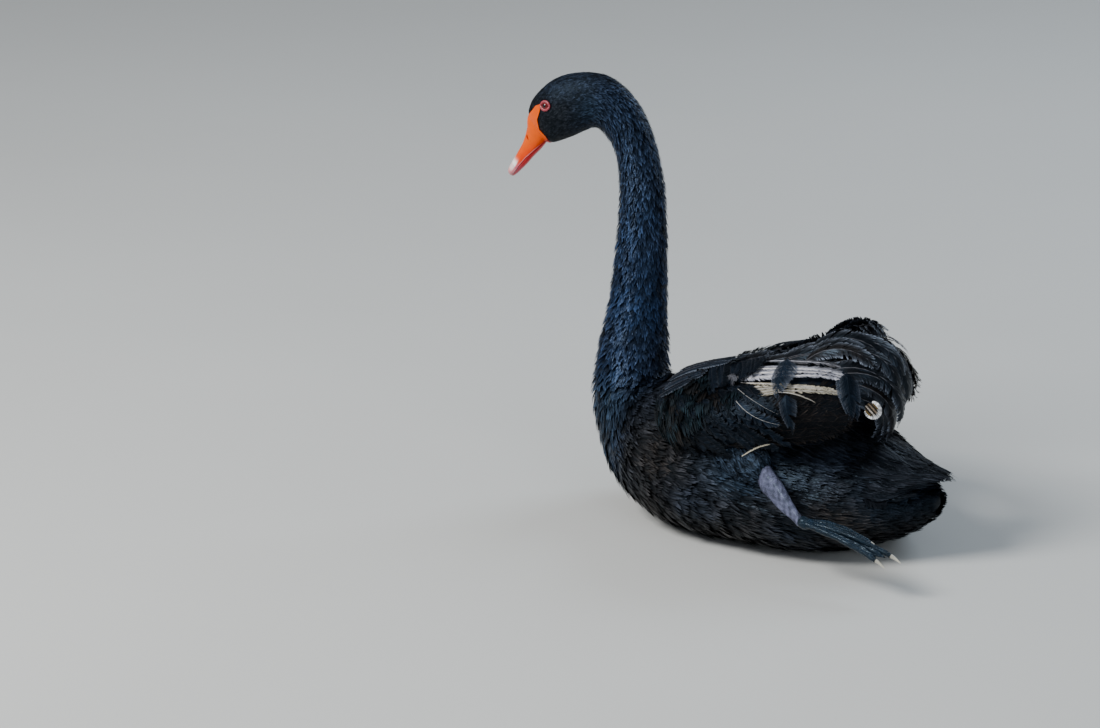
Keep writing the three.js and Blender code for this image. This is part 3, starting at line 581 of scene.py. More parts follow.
BODY_TRACTS = [("coat_breast", (7.2, 9.6), (0, 1), 11), ("coat_flank_left", (2.6, 7.4), (0.5, 1.0), 12),
               ("coat_flank_right", (2.6, 7.4), (0.0, 0.5), 13), ("coat_rump", (0.05, 2.8), (0, 1), 14)]
BODY_SPACING = by_section([(0, 5.8), (3, 7.4), (7, 6.8), (9.6, 5.6)])
for name, (low, high), around, seed in BODY_TRACTS:
    roots = roots_on(body, (at_section(low), at_section(high)), around, BODY_SPACING, seed)
    at = roots[0] * LAST_SECTION
    finish_coat(lay_coat(name, body, roots, ramp([(0, 9), (1, 17), (3, 29), (7, 27), (9.6, 23)], at),
                         ramp([(0, 12), (3, 17), (7, 15), (9.6, 11)], at),
                         ramp([(0, 6), (3, 8.5), (7, 8), (9.6, 6.5)], at),
                         7, (0.35, 1, 0.85), coat_paint, seed, bow=0.25, rough=1.3))

# Wings: each folded and half raised, a fleshy arm under small coverts, with tiers of coverts, flight feathers
# and curled plumes on it. A quill feather is a horn shaft with barbs on both sides, rooted in the arm.
WING = np.array([
    (-84, -97, 128, -96, -91, 154, -82, -66, 184, 12), (-44, -118, 120, -50, -115, 162, -38, -62, 202, 30),
    (15, -127, 128, 14, -125, 180, 20, -54, 216, 44), (70, -126, 146, 68, -116, 197, 72, -44, 233, 44),
    (116, -106, 158, 118, -92, 205, 112, -34, 243, 32), (146, -80, 164, 150, -64, 200, 142, -28, 234, 14)], float)
FAR_WING_SAG = np.array([18, 18, 14, 6, 0, 0], float)
ARM_SUNK = 2.5


def leaf_faces(rows, sunk, thin=1.0):
    """Outer and inner face of a curved leaf given by its lower edge, middle, upper edge and thickness."""
    u = np.linspace(0, 1, 72)
    v = np.linspace(0, 1, 48)
    read = smooth_rows(rows, u * (len(rows) - 1))
    weights = np.stack([(1 - v) * (1 - 2 * v), 4 * v * (1 - v), v * (2 * v - 1)])
    outer = sum(weights[k][None, :, None] * read[:, None, 3 * k:3 * k + 3] for k in range(3))
    face = Surface(outer, wraps=False)
    depth = sunk + (read[:, 9:10] * thin - sunk) * np.sqrt(np.clip(np.sin(math.pi * v), 0, 1))[None, :]
    low = outer - face.normals * np.minimum(sunk, depth)[..., None]
    inner = outer - face.normals * np.maximum(depth, sunk + 0.4)[..., None]
    return face, low, inner


def mirror_maybe(points, faces, mirror):
    if not mirror:
        return points, faces
    return points * [1, -1, 1], faces[:, ::-1]


BLADE = [(0, 0.25), (0.08, 0.6), (0.3, 0.94), (0.6, 1.0), (0.84, 0.84), (0.94, 0.56), (1.0, 0.0)]
LEAF = [(0, 0.7), (0.1, 0.92), (0.3, 1.0), (0.5, 0.92), (0.72, 0.6), (0.9, 0.3), (1.0, 0.0)]
BROAD = [(0, 0.4), (0.1, 0.75), (0.35, 1.0), (0.7, 1.0), (0.9, 0.8), (0.97, 0.5), (1.0, 0.0)]


def quill_feathers(name, paths, ups, width, material, seed, tint, edge=None, shaft=(0.05, 0.045, 0.04), barbs_each=44,
                   outline=BLADE, slant=0.55, fray=0.12, splits=2, camber=0.10, shaft_thick=1.0, mirror=False,
                   narrow=0.8, streak=1.0, rim=1.3):
    """Feathers along paths of places and upward directions: a shaft and two rows of barbs on each."""
    dice = np.random.default_rng(seed)
    paths = np.asarray(paths, float)
    count, stations = paths.shape[:2]
    width = np.broadcast_to(width, (count,)).astype(float)
    run = np.gradient(paths, axis=1)
    length = np.linalg.norm(np.diff(paths, axis=1), axis=2).sum(1)
    run /= np.linalg.norm(run, axis=-1, keepdims=True) + 1e-9
    side = np.cross(ups, run)
    side /= np.linalg.norm(side, axis=-1, keepdims=True) + 1e-9
    up = np.cross(run, side)
    frames = np.concatenate([paths, side, up, run], -1)

    def along(s):
        place = np.clip(s, 0, 1) * (stations - 1)
        low = np.minimum(place.astype(int), stations - 2)
        part = (place - low)[..., None]
        which = np.arange(count).reshape((count,) + (1,) * (s.ndim - 1))
        read = frames[which, low] * (1 - part) + frames[which, low + 1] * part
        beyond = (s - np.clip(s, 0, 1))[..., None] * length.reshape((count,) + (1,) * s.ndim)
        return read[..., :3] + read[..., 9:12] * beyond, read[..., 3:6], read[..., 6:9]

    tint = np.broadcast_to(tint, (count, 3))
    edge = tint * 1.5 if edge is None else np.broadcast_to(edge, (count, 3))
    shaft = np.broadcast_to(shaft, (count, 3))
    q = np.array([0.0, 0.42, 0.78, 1.0])
    q_wide = np.array([1.0, 1.0, 0.9, 0.22])
    base = np.linspace(0.04, 0.985, barbs_each)[None, None, :]
    sign = np.array([-1.0, 1.0])[None, :, None]
    uneven = np.where(sign > 0, 1.0, narrow)
    half = width[:, None, None] / 2 * uneven
    shape_at = np.interp(base, [p[0] for p in outline], [p[1] for p in outline])
    ahead = slant * half * (0.35 + 0.65 * shape_at) / length[:, None, None]
    end = np.minimum(base + ahead * (1 + dice.normal(0, 0.12, (count, 2, barbs_each))), 1.0 + 0.3 * ahead)
    place_of_split = dice.uniform(0.25, 0.95, (count, 2, splits, 1))
    force = dice.uniform(0.25, 1.0, (count, 2, splits, 1)) * (5.0 / length[:, None, None, None])
    away = base[:, :, None, :] - place_of_split
    end = end + (np.sign(away) * force * np.exp(-np.abs(away) * length[:, None, None, None] / 6.0)).sum(2)
    reach = np.interp(np.clip(end, 0, 1), [p[0] for p in outline], [p[1] for p in outline]) * half
    reach = np.maximum(reach, 0.5) * (1 - fray * np.abs(dice.normal(0, 1, (count, 2, barbs_each))))
    s_line = base[..., None] + (end - base)[..., None] * q
    step = 0.72 / barbs_each * q_wide
    edge_pair = np.array([-1.0, 1.0])
    s_all = s_line[..., None] + step[:, None] * edge_pair
    lateral = (reach[..., None] * q ** 0.95)[..., None] * sign[..., None, None]
    place, sideways, upward = along(s_all)
    bend = camber * width[:, None, None, None, None] * (np.abs(lateral) / half[..., None, None]) ** 2
    wobble = dice.normal(0, 0.012, (count, 2, barbs_each, 1, 1)) * width[:, None, None, None, None] * q[:, None] ** 1.5
    tilt = dice.normal(0, 0.25, (count, 2, barbs_each, 1, 1)) * edge_pair * 0.45 * q[:, None]
    points = place + sideways * lateral[..., None] + upward * (wobble + tilt - bend)[..., None]
    shape = points.shape[:-1]
    vane_points = points.reshape(-1, 3)
    blades = count * 2 * barbs_each
    start = (np.arange(blades) * 8)[:, None, None]
    right = np.array([[0, 1, 3, 2], [2, 3, 5, 4], [4, 5, 7, 6]])
    flip = np.broadcast_to((sign < 0)[..., None], (count, 2, barbs_each, 1)).reshape(-1, 1, 1)
    vane_faces = (start + np.where(flip, right[None, :, ::-1], right[None])).reshape(-1, 4)
    # The barbs' outer ends mix toward the edge colour; where that is LIT_EDGE it is a painted highlight along the
    # feather's rim.
    mix_in = np.clip((q - 0.6) / 0.4, 0, 1)[:, None, None] ** rim
    shade = tint[:, None, None, None, None] * (1 - mix_in) + edge[:, None, None, None, None] * mix_in
    shade = shade * dice.uniform(0.5, 1.5, (count, 1, 1, 1, 1, 1)) * (
        1 + streak * (1.6 * dice.uniform(0, 1, (count, 2, barbs_each, 1, 1, 1)) ** 2 - 0.55))
    vane_tint = np.broadcast_to(shade, shape + (3,)).reshape(-1, 3)
    across = np.broadcast_to(lateral / half[..., None, None], shape)
    random_tone = np.broadcast_to(dice.uniform(0, 1, (count, 1, 1, 1, 1)), shape)
    vane_lay = np.stack([s_all, np.abs(across), random_tone], -1).reshape(-1, 3)
    cells = math.ceil(math.sqrt(count))
    cell = np.stack([np.arange(count) % cells, np.arange(count) // cells], -1) / cells
    inside_cell = np.stack([np.clip(s_all, 0, 1), (across + 1) / 2], -1) * 0.86 + 0.07
    vane_uv = (cell[:, None, None, None, None] + inside_cell / cells).reshape(-1, 2)

    rings = 10
    s_ring = np.broadcast_to(np.linspace(0, 0.97, rings)[None, :, None], (count, rings, 4))
    place, sideways, upward = along(s_ring)
    thick = shaft_thick * (1 - 0.82 * s_ring) * np.clip(width / 22, 0.6, 1.3)[:, None, None]
    corner_side = np.array([-0.5, 0.0, 0.5, 0.0]) * 1.3
    corner_up = np.array([0.05, 0.75, 0.05, -0.55])
    tube = place + sideways * (thick * corner_side)[..., None] + upward * (thick * corner_up)[..., None]
    tube_faces = ringed_faces(rings, 4, True)
    tube_faces = (tube_faces[None] + (np.arange(count) * rings * 4)[:, None, None]).reshape(-1, 4)
    tube_tint = np.broadcast_to(shaft[:, None, None], (count, rings, 4, 3)).reshape(-1, 3)
    tube_lay = np.stack([s_ring, np.zeros_like(s_ring), np.full_like(s_ring, 0.5)], -1).reshape(-1, 3)
    tube_uv = (cell[:, None, None] + (np.stack([s_ring, np.full_like(s_ring, 0.5)], -1) * 0.86 + 0.07) / cells
               ).reshape(-1, 2)
    all_points = np.concatenate([vane_points, tube.reshape(-1, 3)])
    all_faces = np.concatenate([vane_faces, tube_faces + len(vane_points)])
    all_points, all_faces = mirror_maybe(all_points, all_faces, mirror)
    return mesh_piece(name, all_points, all_faces, material, uv=np.concatenate([vane_uv, tube_uv]), colours={
        "tint": np.concatenate([vane_tint, tube_tint]), "lay": np.concatenate([vane_lay, tube_lay])})


def lying_paths(face, roots, tips, heights, seed, sweep=0.0, stations=15, loose=0.012):
    """Paths over a face from roots to tips, both given along and across it, rising from sunk to laid."""
    dice = np.random.default_rng(seed)
    roots = np.asarray(roots, float) + dice.normal(0, loose * 0.4, np.shape(roots))
    tips = np.asarray(tips, float) + dice.normal(0, loose, np.shape(tips))
    s = np.linspace(0, 1, stations)[None, :]
    a = roots[:, :1] + (tips[:, :1] - roots[:, :1]) * s
    bow = dice.normal(sweep, loose, (len(roots), 1))
    b = roots[:, 1:] + (tips[:, 1:] - roots[:, 1:]) * s + bow * np.sin(math.pi * s)
    place, up, _, _ = face.at(a, b)
    lifted = np.broadcast_to(heights, (len(roots), 2)) * dice.uniform(0.85, 1.2, (len(roots), 1))
    rise = -2.0 * (1 - s) ** 6 + lifted[:, :1] * (1 - s) + lifted[:, 1:] * s
    return place + up * rise[..., None], up


def curling_paths(face, roots, rise, droop, length, seed, roll, upright=0.45, stations=19):
    """Paths that leave a face at a rise and curl back over, their flat sides rolled outward by an angle."""
    dice = np.random.default_rng(seed)
    roots = np.asarray(roots, float)
    count = len(roots)
    behind = face.at(roots[:, 0] - 0.02, roots[:, 1])[0]
    level = face.at(roots[:, 0] + 0.02, roots[:, 1])[0] - behind
    level /= np.linalg.norm(level, axis=1, keepdims=True)
    place, up, _, _ = face.at(roots[:, 0], roots[:, 1])
    up = up * (1 - upright) + np.array([0, 0, 1.0]) * upright
    up -= level * (up * level).sum(1, keepdims=True)
    up /= np.linalg.norm(up, axis=1, keepdims=True)
    across = np.cross(up, level)
    turn = dice.normal(0, 0.10, (count, 1))
    level, across = level * np.cos(turn) + across * np.sin(turn), across * np.cos(turn) - level * np.sin(turn)
    rise = rise + dice.normal(0, 0.05, count)
    droop = droop + dice.normal(0, 0.12, count)
    length = length * dice.uniform(0.93, 1.05, count)
    s = np.linspace(0, 1, stations)
    angle = rise[:, None] - droop[:, None] * s[None] ** 1.3
    middle = (angle[:, 1:] + angle[:, :-1]) / 2
    step = length[:, None] / (stations - 1)
    forward = np.concatenate([np.zeros((count, 1)), np.cumsum(np.cos(middle) * step, 1)], 1)
    upward = np.concatenate([np.zeros((count, 1)), np.cumsum(np.sin(middle) * step, 1)], 1)
    slide = dice.normal(0, 0.05, (count, 1)) * length[:, None] * s[None] ** 2
    paths = (place[:, None] - up[:, None] * 3 + level[:, None] * forward[..., None]
             + up[:, None] * upward[..., None] + across[:, None] * slide[..., None])
    paths = paths - across[:, None] * (dice.uniform(0, 6, (count, 1)) * s)[..., None]
    ups = up[:, None] * np.cos(angle)[..., None] - level[:, None] * np.sin(angle)[..., None]
    rolled = roll + dice.normal(0, 0.15, (count, 1, 1))
    return paths, ups * np.cos(rolled) - across[:, None] * np.sin(rolled)


def row_of(count, first, last):
    return np.linspace(first, last, count)


BLUE_BLACK = np.array([0.0050, 0.0085, 0.0150])
TEAL_BLACK = np.array([0.0042, 0.0078, 0.0105])
BROWN_BLACK = np.array([0.0070, 0.0055, 0.0046])
PLUME_BLACK = np.array([0.0060, 0.0068, 0.0090])
LIT_EDGE = np.array([0.024, 0.028, 0.036])
# White feathers in blue shade: painted shade, a lavender grey in place of white.
SHADED_WHITE = np.array([0.33, 0.34, 0.40])
CREAM = np.array([0.62, 0.57, 0.45])
PALE_SHAFT = np.array([0.55, 0.53, 0.52])
wing_paint = feather_paint("wing_feather", 0.38, 0.0, 60.0, gloss=0.09)
plume_paint = feather_paint("wing_plume", 0.33, 0.0, 60.0, gloss=0.22)
pale_paint = feather_paint("white_feather", 0.5, 0.0, 60.0)
pale_paint.node_tree.nodes["Principled BSDF"].inputs["Specular Tint"].default_value = (1, 1, 1, 1)


def wing_piece(piece, side):
    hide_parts("wing_" + side)
    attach(piece, "root")


PLUMES = {False: [
    (5, 0.16, 0.16, 1.00, 0.96, 0.08, 0.2, 84, 84, 0.5), (5, 0.32, 0.32, 1.02, 0.97, 0.14, 0.4, 92, 88, 0.6),
    (5, 0.45, 0.48, 1.02, 0.96, 0.30, 1.0, 98, 84, 0.7), (5, 0.58, 0.62, 1.02, 0.90, 0.52, 2.0, 112, 98, 0.7),
    (6, 0.69, 0.80, 1.00, 0.70, 0.46, 2.4, 132, 106, 0.6), (7, 0.79, 0.92, 0.98, 0.52, 0.26, 2.3, 136, 104, 0.5),
    (6, 0.89, 0.98, 0.94, 0.48, 0.05, 2.2, 132, 98, 0.5), (6, 0.95, 0.98, 0.84, 0.56, 0.0, 1.8, 100, 86, 0.5)],
          True: [
    (5, 0.16, 0.16, 1.00, 0.96, 0.10, 0.2, 84, 84, 0.6), (6, 0.32, 0.34, 1.02, 0.97, 0.36, 0.8, 96, 88, 0.8),
    (7, 0.46, 0.52, 1.02, 0.95, 0.66, 1.6, 104, 88, 0.9), (7, 0.61, 0.64, 1.02, 0.92, 0.90, 3.0, 84, 72, 0.9),
    (7, 0.70, 0.75, 1.00, 0.66, 0.14, 2.5, 92, 86, 0.6), (7, 0.80, 0.88, 0.98, 0.52, 0.06, 2.4, 92, 84, 0.5),
    (6, 0.90, 0.96, 0.94, 0.50, 0.02, 2.4, 84, 78, 0.5)]}
CURL_PLACE = np.array([171.7, -64.9, 189.0])


def wing_tract(name, face, mirror, seed, material, groups, loose=0.012, sweep=0.02, **looks):
    """Feathers of one wing in groups: count, first and last root, first and last tip, heights, width, colours."""
    gathered = [[] for _ in range(6)]
    for k, (count, root0, root1, tip0, tip1, height0, height1, width, colours) in enumerate(groups):
        paths, ups = lying_paths(face, row_of(count, root0, root1), row_of(count, tip0, tip1), (height0, height1),
                                 seed * 10 + k, sweep=sweep, loose=loose)
        gathered[0].append(paths)
        gathered[1].append(ups)
        gathered[2].append(width * np.random.default_rng(seed * 10 + k).uniform(0.8, 1.2, count))
        for kept, colour in zip(gathered[3:], colours):
            kept.append(np.tile(colour, (count, 1)))
    paths, ups, widths, tints, edges, shafts = [np.concatenate(kept) for kept in gathered]
    wing_piece(quill_feathers(name, paths, ups, widths, material, seed, tints, edge=edges, shaft=shafts,
                              mirror=mirror, **looks), name.rsplit("_", 1)[1])


for side, mirror, seed in (("left", False, 100), ("right", True, 200)):
    rows = WING.copy()
    if mirror:
        rows[:, 8] -= FAR_WING_SAG
    wing_face, arm_outer, arm_inner = leaf_faces(rows, ARM_SUNK, 0.8)
    shell = np.concatenate([arm_outer, arm_inner[:, ::-1]], 1)
    arm_points = np.concatenate([shell.reshape(-1, 3), [shell[0].mean(0), shell[-1].mean(0)]])
    arm_around = shell.shape[1]
    arm_faces = ringed_faces(shell.shape[0], arm_around, True)
    arm_triangles = np.concatenate([arm_faces[:, [0, 1, 2]], arm_faces[:, [0, 2, 3]]])[:, ::-1]
    k = np.arange(arm_around)
    last = (shell.shape[0] - 1) * arm_around
    arm_triangles = np.concatenate([
        arm_triangles, np.stack([k, (k + 1) % arm_around, np.full(arm_around, len(arm_points) - 2)], 1),
        np.stack([last + (k + 1) % arm_around, last + k, np.full(arm_around, len(arm_points) - 1)], 1)])
    arm_uv = np.stack(np.meshgrid(np.linspace(0, 1, shell.shape[0]), np.linspace(0, 1, arm_around),
                                  indexing="ij"), -1).reshape(-1, 2)
    arm_uv = np.concatenate([arm_uv, [[0, 0.5], [1, 0.5]]])
    arm_points, arm_triangles = mirror_maybe(arm_points, arm_triangles, mirror)
    wing_piece(mesh_piece("wing_arm_" + side, arm_points, arm_triangles, coat_paint, uv=arm_uv, colours={
        "tint": np.tile(BLUE_BLACK * 0.7, (len(arm_points), 1)), "lay": np.zeros((len(arm_points), 3))}), side)

    # Colour sets of tint, edge and shaft. Their edges are LIT_EDGE, a painted highlight on the feathers' rims: faint
    # on dark_rim, strong on lit_rim and spoon.
    dark_rim = (BLUE_BLACK * 0.5, LIT_EDGE * 0.65, (0.014, 0.014, 0.018))
    lit_rim = (BLUE_BLACK * 0.8, LIT_EDGE * 7.0, (0.05, 0.05, 0.06))
    spoon = (BLUE_BLACK * 1.0, LIT_EDGE * 4.0, (0.006, 0.009, 0.014))
    blue_rim = (BLUE_BLACK * 1.6, LIT_EDGE * 1.2, (0.05, 0.05, 0.06))
    lit_shaft = (BLUE_BLACK, LIT_EDGE, (0.38, 0.37, 0.35))
    wing_tract("wing_flights_" + side, wing_face, mirror, seed + 1, wing_paint, [
        (7, (0.42, 0.04), (0.52, 0.54), (1.0, -0.04), (1.06, 0.47), 1.0, 2.5, 36,
         (BROWN_BLACK * 0.5, BROWN_BLACK * 4.0, (0.010, 0.007, 0.006)))],
        barbs_each=96, fray=0.4, splits=12, slant=0.9, loose=0.016, streak=0.7)
    wing_tract("wing_white_flights_" + side, wing_face, mirror, seed + 2, pale_paint, [
        (3, (0.40, 0.66), (0.40, 0.76), (0.93, 0.49), (0.93, 0.52), 3.0, 4.0, 7, (CREAM * 0.3, CREAM * 0.8,
                                                                                  PALE_SHAFT)),
        (3, (0.38, 0.58), (0.38, 0.68), (0.66, 0.56), (0.68, 0.60), 4.0, 4.0, 9, (CREAM * 0.4, CREAM,
                                                                                  PALE_SHAFT)),
        (3, (0.32, 0.84), (0.32, 0.96), (0.62, 0.70), (0.62, 0.80), 5.0, 5.5, 16, (SHADED_WHITE * 0.9, SHADED_WHITE * 0.7,
                                                                                   PALE_SHAFT)),
        # Two white flights in deeper shade, painted darker still.
        (2, (0.40, 0.92), (0.42, 0.98), (0.92, 0.72), (0.91, 0.77), 5.0, 6.0, 9, (SHADED_WHITE * 0.25, SHADED_WHITE * 0.1,
                                                                                  SHADED_WHITE)),
        (3, (0.36, 0.80), (0.36, 0.90), (0.94, 0.64), (0.93, 0.69), 5.5, 6.5, 8, (SHADED_WHITE * 0.9, SHADED_WHITE * 0.35,
                                                                                  PALE_SHAFT * 1.3))],
        barbs_each=96, fray=0.3, slant=1.2, splits=5, shaft_thick=1.8, streak=0.6, loose=0.004, sweep=-0.03)
    wing_tract("wing_coverts_" + side, wing_face, mirror, seed + 3, wing_paint, [
        (13, (0.02, 0.36), (0.46, 0.42), (0.22, -0.05), (0.71, -0.09), 4.5, 5.5, 17, dark_rim),
        (7, (0.04, 0.54), (0.26, 0.60), (0.20, 0.12), (0.48, 0.10), 6.5, 7.0, 16, dark_rim),
        (2, (0.46, 0.48), (0.46, 0.62), (0.635, 0.17), (0.65, 0.27), 10.5, 10.5, 17, lit_shaft),
        (6, (0.26, 0.62), (0.45, 0.68), (0.48, 0.18), (0.68, 0.28), 7.5, 8.0, 16, dark_rim),
        (13, (0.00, 0.70), (0.38, 0.68), (0.16, 0.34), (0.60, 0.34), 8.5, 9.5, 16, dark_rim)],
        fray=0.2, splits=4, loose=0.028, shaft_thick=0.7, streak=0.8)
    small_points = wing_face.points + wing_face.normals * 5.0
    small_face = Surface(small_points[:, ::-1] * [1, -1, 1] if mirror else small_points, wraps=False)
    roots = roots_on(small_face, (0.0, 0.46), (0.0, 1.0), 6.6, seed + 11, keep=lambda place, a, b: (
        ((1 - b if mirror else b) > 0.02 + 1.35 * a) & ((a < 0.28) | ((1 - b if mirror else b) < 0.66))))
    tawny = np.clip(0.15 + 0.8 * np.sin(roots[0] * 31 + 4 * np.sin(roots[1] * 9)), 0, 1)[:, None]
    finish_coat(lay_coat("wing_lesser_coverts_" + side, small_face, roots, 25, 14, 7.0, 7, (0.5, 0.9, 0.6),
                         wing_paint, seed + 12, ahead=1, turn=0.95 if mirror else -0.95, bow=0.3, rough=1.8,
                         streak=0.45, tint=TEAL_BLACK * (1 - tawny) + BROWN_BLACK * 0.7 * tawny),
                "wing_" + side, slot="wing_feathers")
    loose_groups = [
        (8, (0.03, 0.58), (0.03, 0.96), (0.20, 0.80), (0.33, 0.99), 5.0 if mirror else 14.0,
         4.0 if mirror else 13.0, 11, lit_rim),
        (6, (0.04, 0.92), (0.20, 0.98), (0.24, 0.96), (0.44, 0.98), 6.0, 6.0, 14, lit_rim),
        (11, (0.20, 0.96), (0.42, 0.98), (0.33, 0.60), (0.48, 0.76), 11.0, 11.0, 14, dark_rim)]
    if not mirror:
        loose_groups += [
            (1, (0.64, 0.51), (0.64, 0.51), (0.79, 0.41), (0.79, 0.41), 11.0, 11.0, 2.6,
             (CREAM * 0.5, CREAM * 0.7, PALE_SHAFT)),
            (1, (0.49, -0.02), (0.50, -0.02), (0.63, 0.05), (0.64, 0.05), 11.0, 11.0, 3.2,
             (CREAM * 0.7, CREAM * 0.8, CREAM)),
            # Two small white feathers in shade, painted a darker lavender grey.
            (2, (0.36, 0.78), (0.37, 0.74), (0.40, 0.68), (0.42, 0.66), 13.0, 12.5, 9,
             (SHADED_WHITE * 0.22, SHADED_WHITE * 0.45, SHADED_WHITE * 0.3))]
        wing_tract("wing_hanging_" + side, wing_face, mirror, seed + 5, wing_paint, [
            (1, (0.575, 0.86), (0.575, 0.86), (0.655, 0.42), (0.655, 0.42), 14.0, 13.0, 34, spoon),
            (1, (0.67, 0.48), (0.67, 0.48), (0.705, 0.10), (0.705, 0.10), 12.0, 12.0, 22, spoon),
            (3, (0.87, 0.76), (0.91, 0.72), (0.98, 0.22), (1.03, 0.16), 9.0, 10.0, 24, spoon)],
            outline=LEAF, fray=0.04, splits=1, camber=0.2, slant=0.8, streak=0.3, barbs_each=120, rim=2.0,
            shaft_thick=0.5)
    wing_tract("wing_loose_" + side, wing_face, mirror, seed + 4, wing_paint, loose_groups, fray=0.04, splits=1,
               outline=BROAD, camber=0.16, slant=0.8, streak=0.3, barbs_each=110, rim=3.0)
    plume_paths = []
    plume_ups = []
    for count, u0, u1, v0, v1, rise, droop, long0, long1, roll in PLUMES[mirror]:
        roots = row_of(count, (u0, v0), (u1, v1))
        made = curling_paths(wing_face, roots, np.full(count, rise), np.full(count, droop),
                             np.linspace(long0, long1, count), seed + int(u0 * 100), roll)
        plume_paths.append(made[0])
        plume_ups.append(made[1])
    paths = np.concatenate(plume_paths)
    tawny = np.random.default_rng(seed + 8).uniform(-0.6, 1, (len(paths), 1)).clip(0, 1)
    wing_piece(quill_feathers("wing_plumes_" + side, paths, np.concatenate(plume_ups), 25, plume_paint, seed + 9,
                              PLUME_BLACK * 0.5 * (1 - tawny) + BROWN_BLACK * 0.9 * tawny, edge=LIT_EDGE * 7.0, shaft=(0.08, 0.08, 0.09), outline=BROAD, rim=2.6,
                              barbs_each=72, fray=0.07, splits=3, slant=0.8, camber=0.20, mirror=mirror,
                              streak=0.6), side)
    if side == "left":
        t = np.linspace(0, 1, 22)
        band_off = np.linspace(-6.6, 6.6, 7)
        band_half = np.sqrt(66 - band_off ** 2)
        arcs = [(8.7 * np.cos(turn), 1.0 + 0 * t, 8.7 * np.sin(turn)) for turn in (1.7 - 4.6 * t,)]
        arcs += [(4.4 * np.cos(turn), 0 * t, 4.4 * np.sin(turn)) for turn in (1.5 - 6.3 * t,)]
        arcs += [(0.66 * off + 0.75 * half * (2 * t - 1), 2.4 + 0.4 * (k % 2) + 0 * t,
                  0.75 * off - 0.66 * half * (2 * t - 1)) for k, (off, half) in enumerate(zip(band_off, band_half))]
        curl_paths = np.stack([CURL_PLACE + np.stack([1.08 * a, -lie, c], 1) for a, lie, c in arcs])
        white, tawny_barb, dark_barb = [0.55, 0.56, 0.58], [0.15, 0.10, 0.03], [0.010, 0.007, 0.005]
        curl_tints = np.array([white, [0.09, 0.06, 0.025], tawny_barb, dark_barb, [0.26, 0.24, 0.22], dark_barb,
                               [0.13, 0.10, 0.07], dark_barb, tawny_barb])
        wing_piece(quill_feathers("wing_curl_" + side, curl_paths, np.tile([0.45, -0.85, 0.25], (9, 22, 1)),
                                  (7.0, 9.4, 2.2, 2.2, 2.0, 2.6, 2.0, 2.2, 2.2), pale_paint, seed + 10, curl_tints,
                                  edge=curl_tints * 0.9, shaft=curl_tints * 0.8, barbs_each=48, fray=0.03, splits=0,
                                  slant=0.1, shaft_thick=0.4), side)

# Tail: a low roof of stiff quill feathers fanned over the rump, the middle ones longest.
TAIL = np.array([(146, -78, 88, 146, 0, 129, 146, 78, 88, 7), (184, -58, 82, 188, 0, 111, 184, 58, 82, 9),
                 (216, -33, 89, 225, 0, 101, 216, 33, 89, 5)], float)
tail_face, _, _ = leaf_faces(TAIL, 1.0)
tail_count = 18
t = np.linspace(0, 1, tail_count)
tail_reach = 1.24 - 0.5 * np.abs(2 * t - 1) ** 1.6
tail_roots = np.stack([tail_reach - 1.1, 0.1 + 0.8 * t], 1)
tail_tips = np.stack([tail_reach, -0.1 + 1.2 * t], 1)
paths, ups = lying_paths(tail_face, tail_roots, tail_tips, (2, 2), 301)
tail_piece = quill_feathers("tail_feathers", paths, ups, 18, wing_paint, 302, PLUME_BLACK * 0.6,
                            edge=LIT_EDGE * 0.3, shaft=(0.008, 0.008, 0.012), barbs_each=60, fray=0.2, splits=5)
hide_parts("tail")
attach(tail_piece, "root")
tail_cover = Surface(tail_face.points + tail_face.normals * 2.0, wraps=False)
roots = roots_on(tail_cover, (0.0, 0.72), (0.0, 1.0), 6.0, 303)
finish_coat(lay_coat("tail_coverts", tail_cover, roots, 36, 14, 3, 7, (0.4, 1, 0.8), coat_paint, 304, ahead=1,
                     bow=0.25, rough=1.8, tint=PLUME_BLACK * 0.9), "tail")

# Bill: a horn sheath in two halves with a bare wedge of skin up to the eye, orange-red, with a pale bar and a
# pale nail at the tip. The halves part at the line of the mouth, and a slit nostril opens on each side.
BILL = [
    (-282, 449, -300, 488, 13, 2.2, 0, 1), (-294, 438, -318.2, 467.6, 15, 2.3, -0.1, 1),
    (-302.5, 427, -320.5, 450, 14.5, 2.4, -0.15, 1), (-311.5, 417.5, -325, 434, 13.4, 2.5, -0.15, 1),
    (-319.5, 408, -331.5, 421, 12.8, 2.6, -0.1, 1), (-326.5, 400.5, -339, 408, 12.2, 2.6, 0, 1),
    (-331.5, 395.5, -343, 399.2, 9.8, 2.4, 0, 1), (-336, 391.6, -342, 393.6, 4.5, 2, 0, 1)]
MOUTH = [(-292, 441.5), (-300, 434.5), (-311, 425), (-320.4, 416.2), (-330, 404.7), (-338, 393.5)]
BELOW_MOUTH = [(-350, 385), (-335, 370), (-285, 420)]
MOUTH_LINE = 0.8
NAIL_EDGE = [(-343.5, 411), (-336.5, 408.5), (-332.5, 402.5)]
BEFORE_NAIL = [(-326, 396), (-330, 380), (-360, 390)]
BILL_GRAIN = 0.55
NOSTRIL_PLACE = (-318.5, 9.8, 441.0)


def loose_object(name, points, faces):
    mesh = bpy.data.meshes.new(name)
    mesh.from_pydata([tuple(np.array(p) * MM) for p in points], [], [tuple(int(i) for i in f) for f in faces])
    made = bpy.data.objects.new(name, mesh)
    scene.collection.objects.link(made)
    return made


def capped_tube(name, rings):
    rows, around = rings.shape[:2]
    faces = [tuple(f) for f in ringed_faces(rows, around, True)]
    faces.append(tuple(range(around)))
    faces.append(tuple(range((rows - 1) * around, rows * around))[::-1])
    made = loose_object(name, rings.reshape(-1, 3), faces)
    outward(made)
    return made


def outward(piece):
    form = bmesh.new()
    form.from_mesh(piece.data)
    bmesh.ops.recalc_face_normals(form, faces=form.faces)
    form.to_mesh(piece.data)
    form.free()


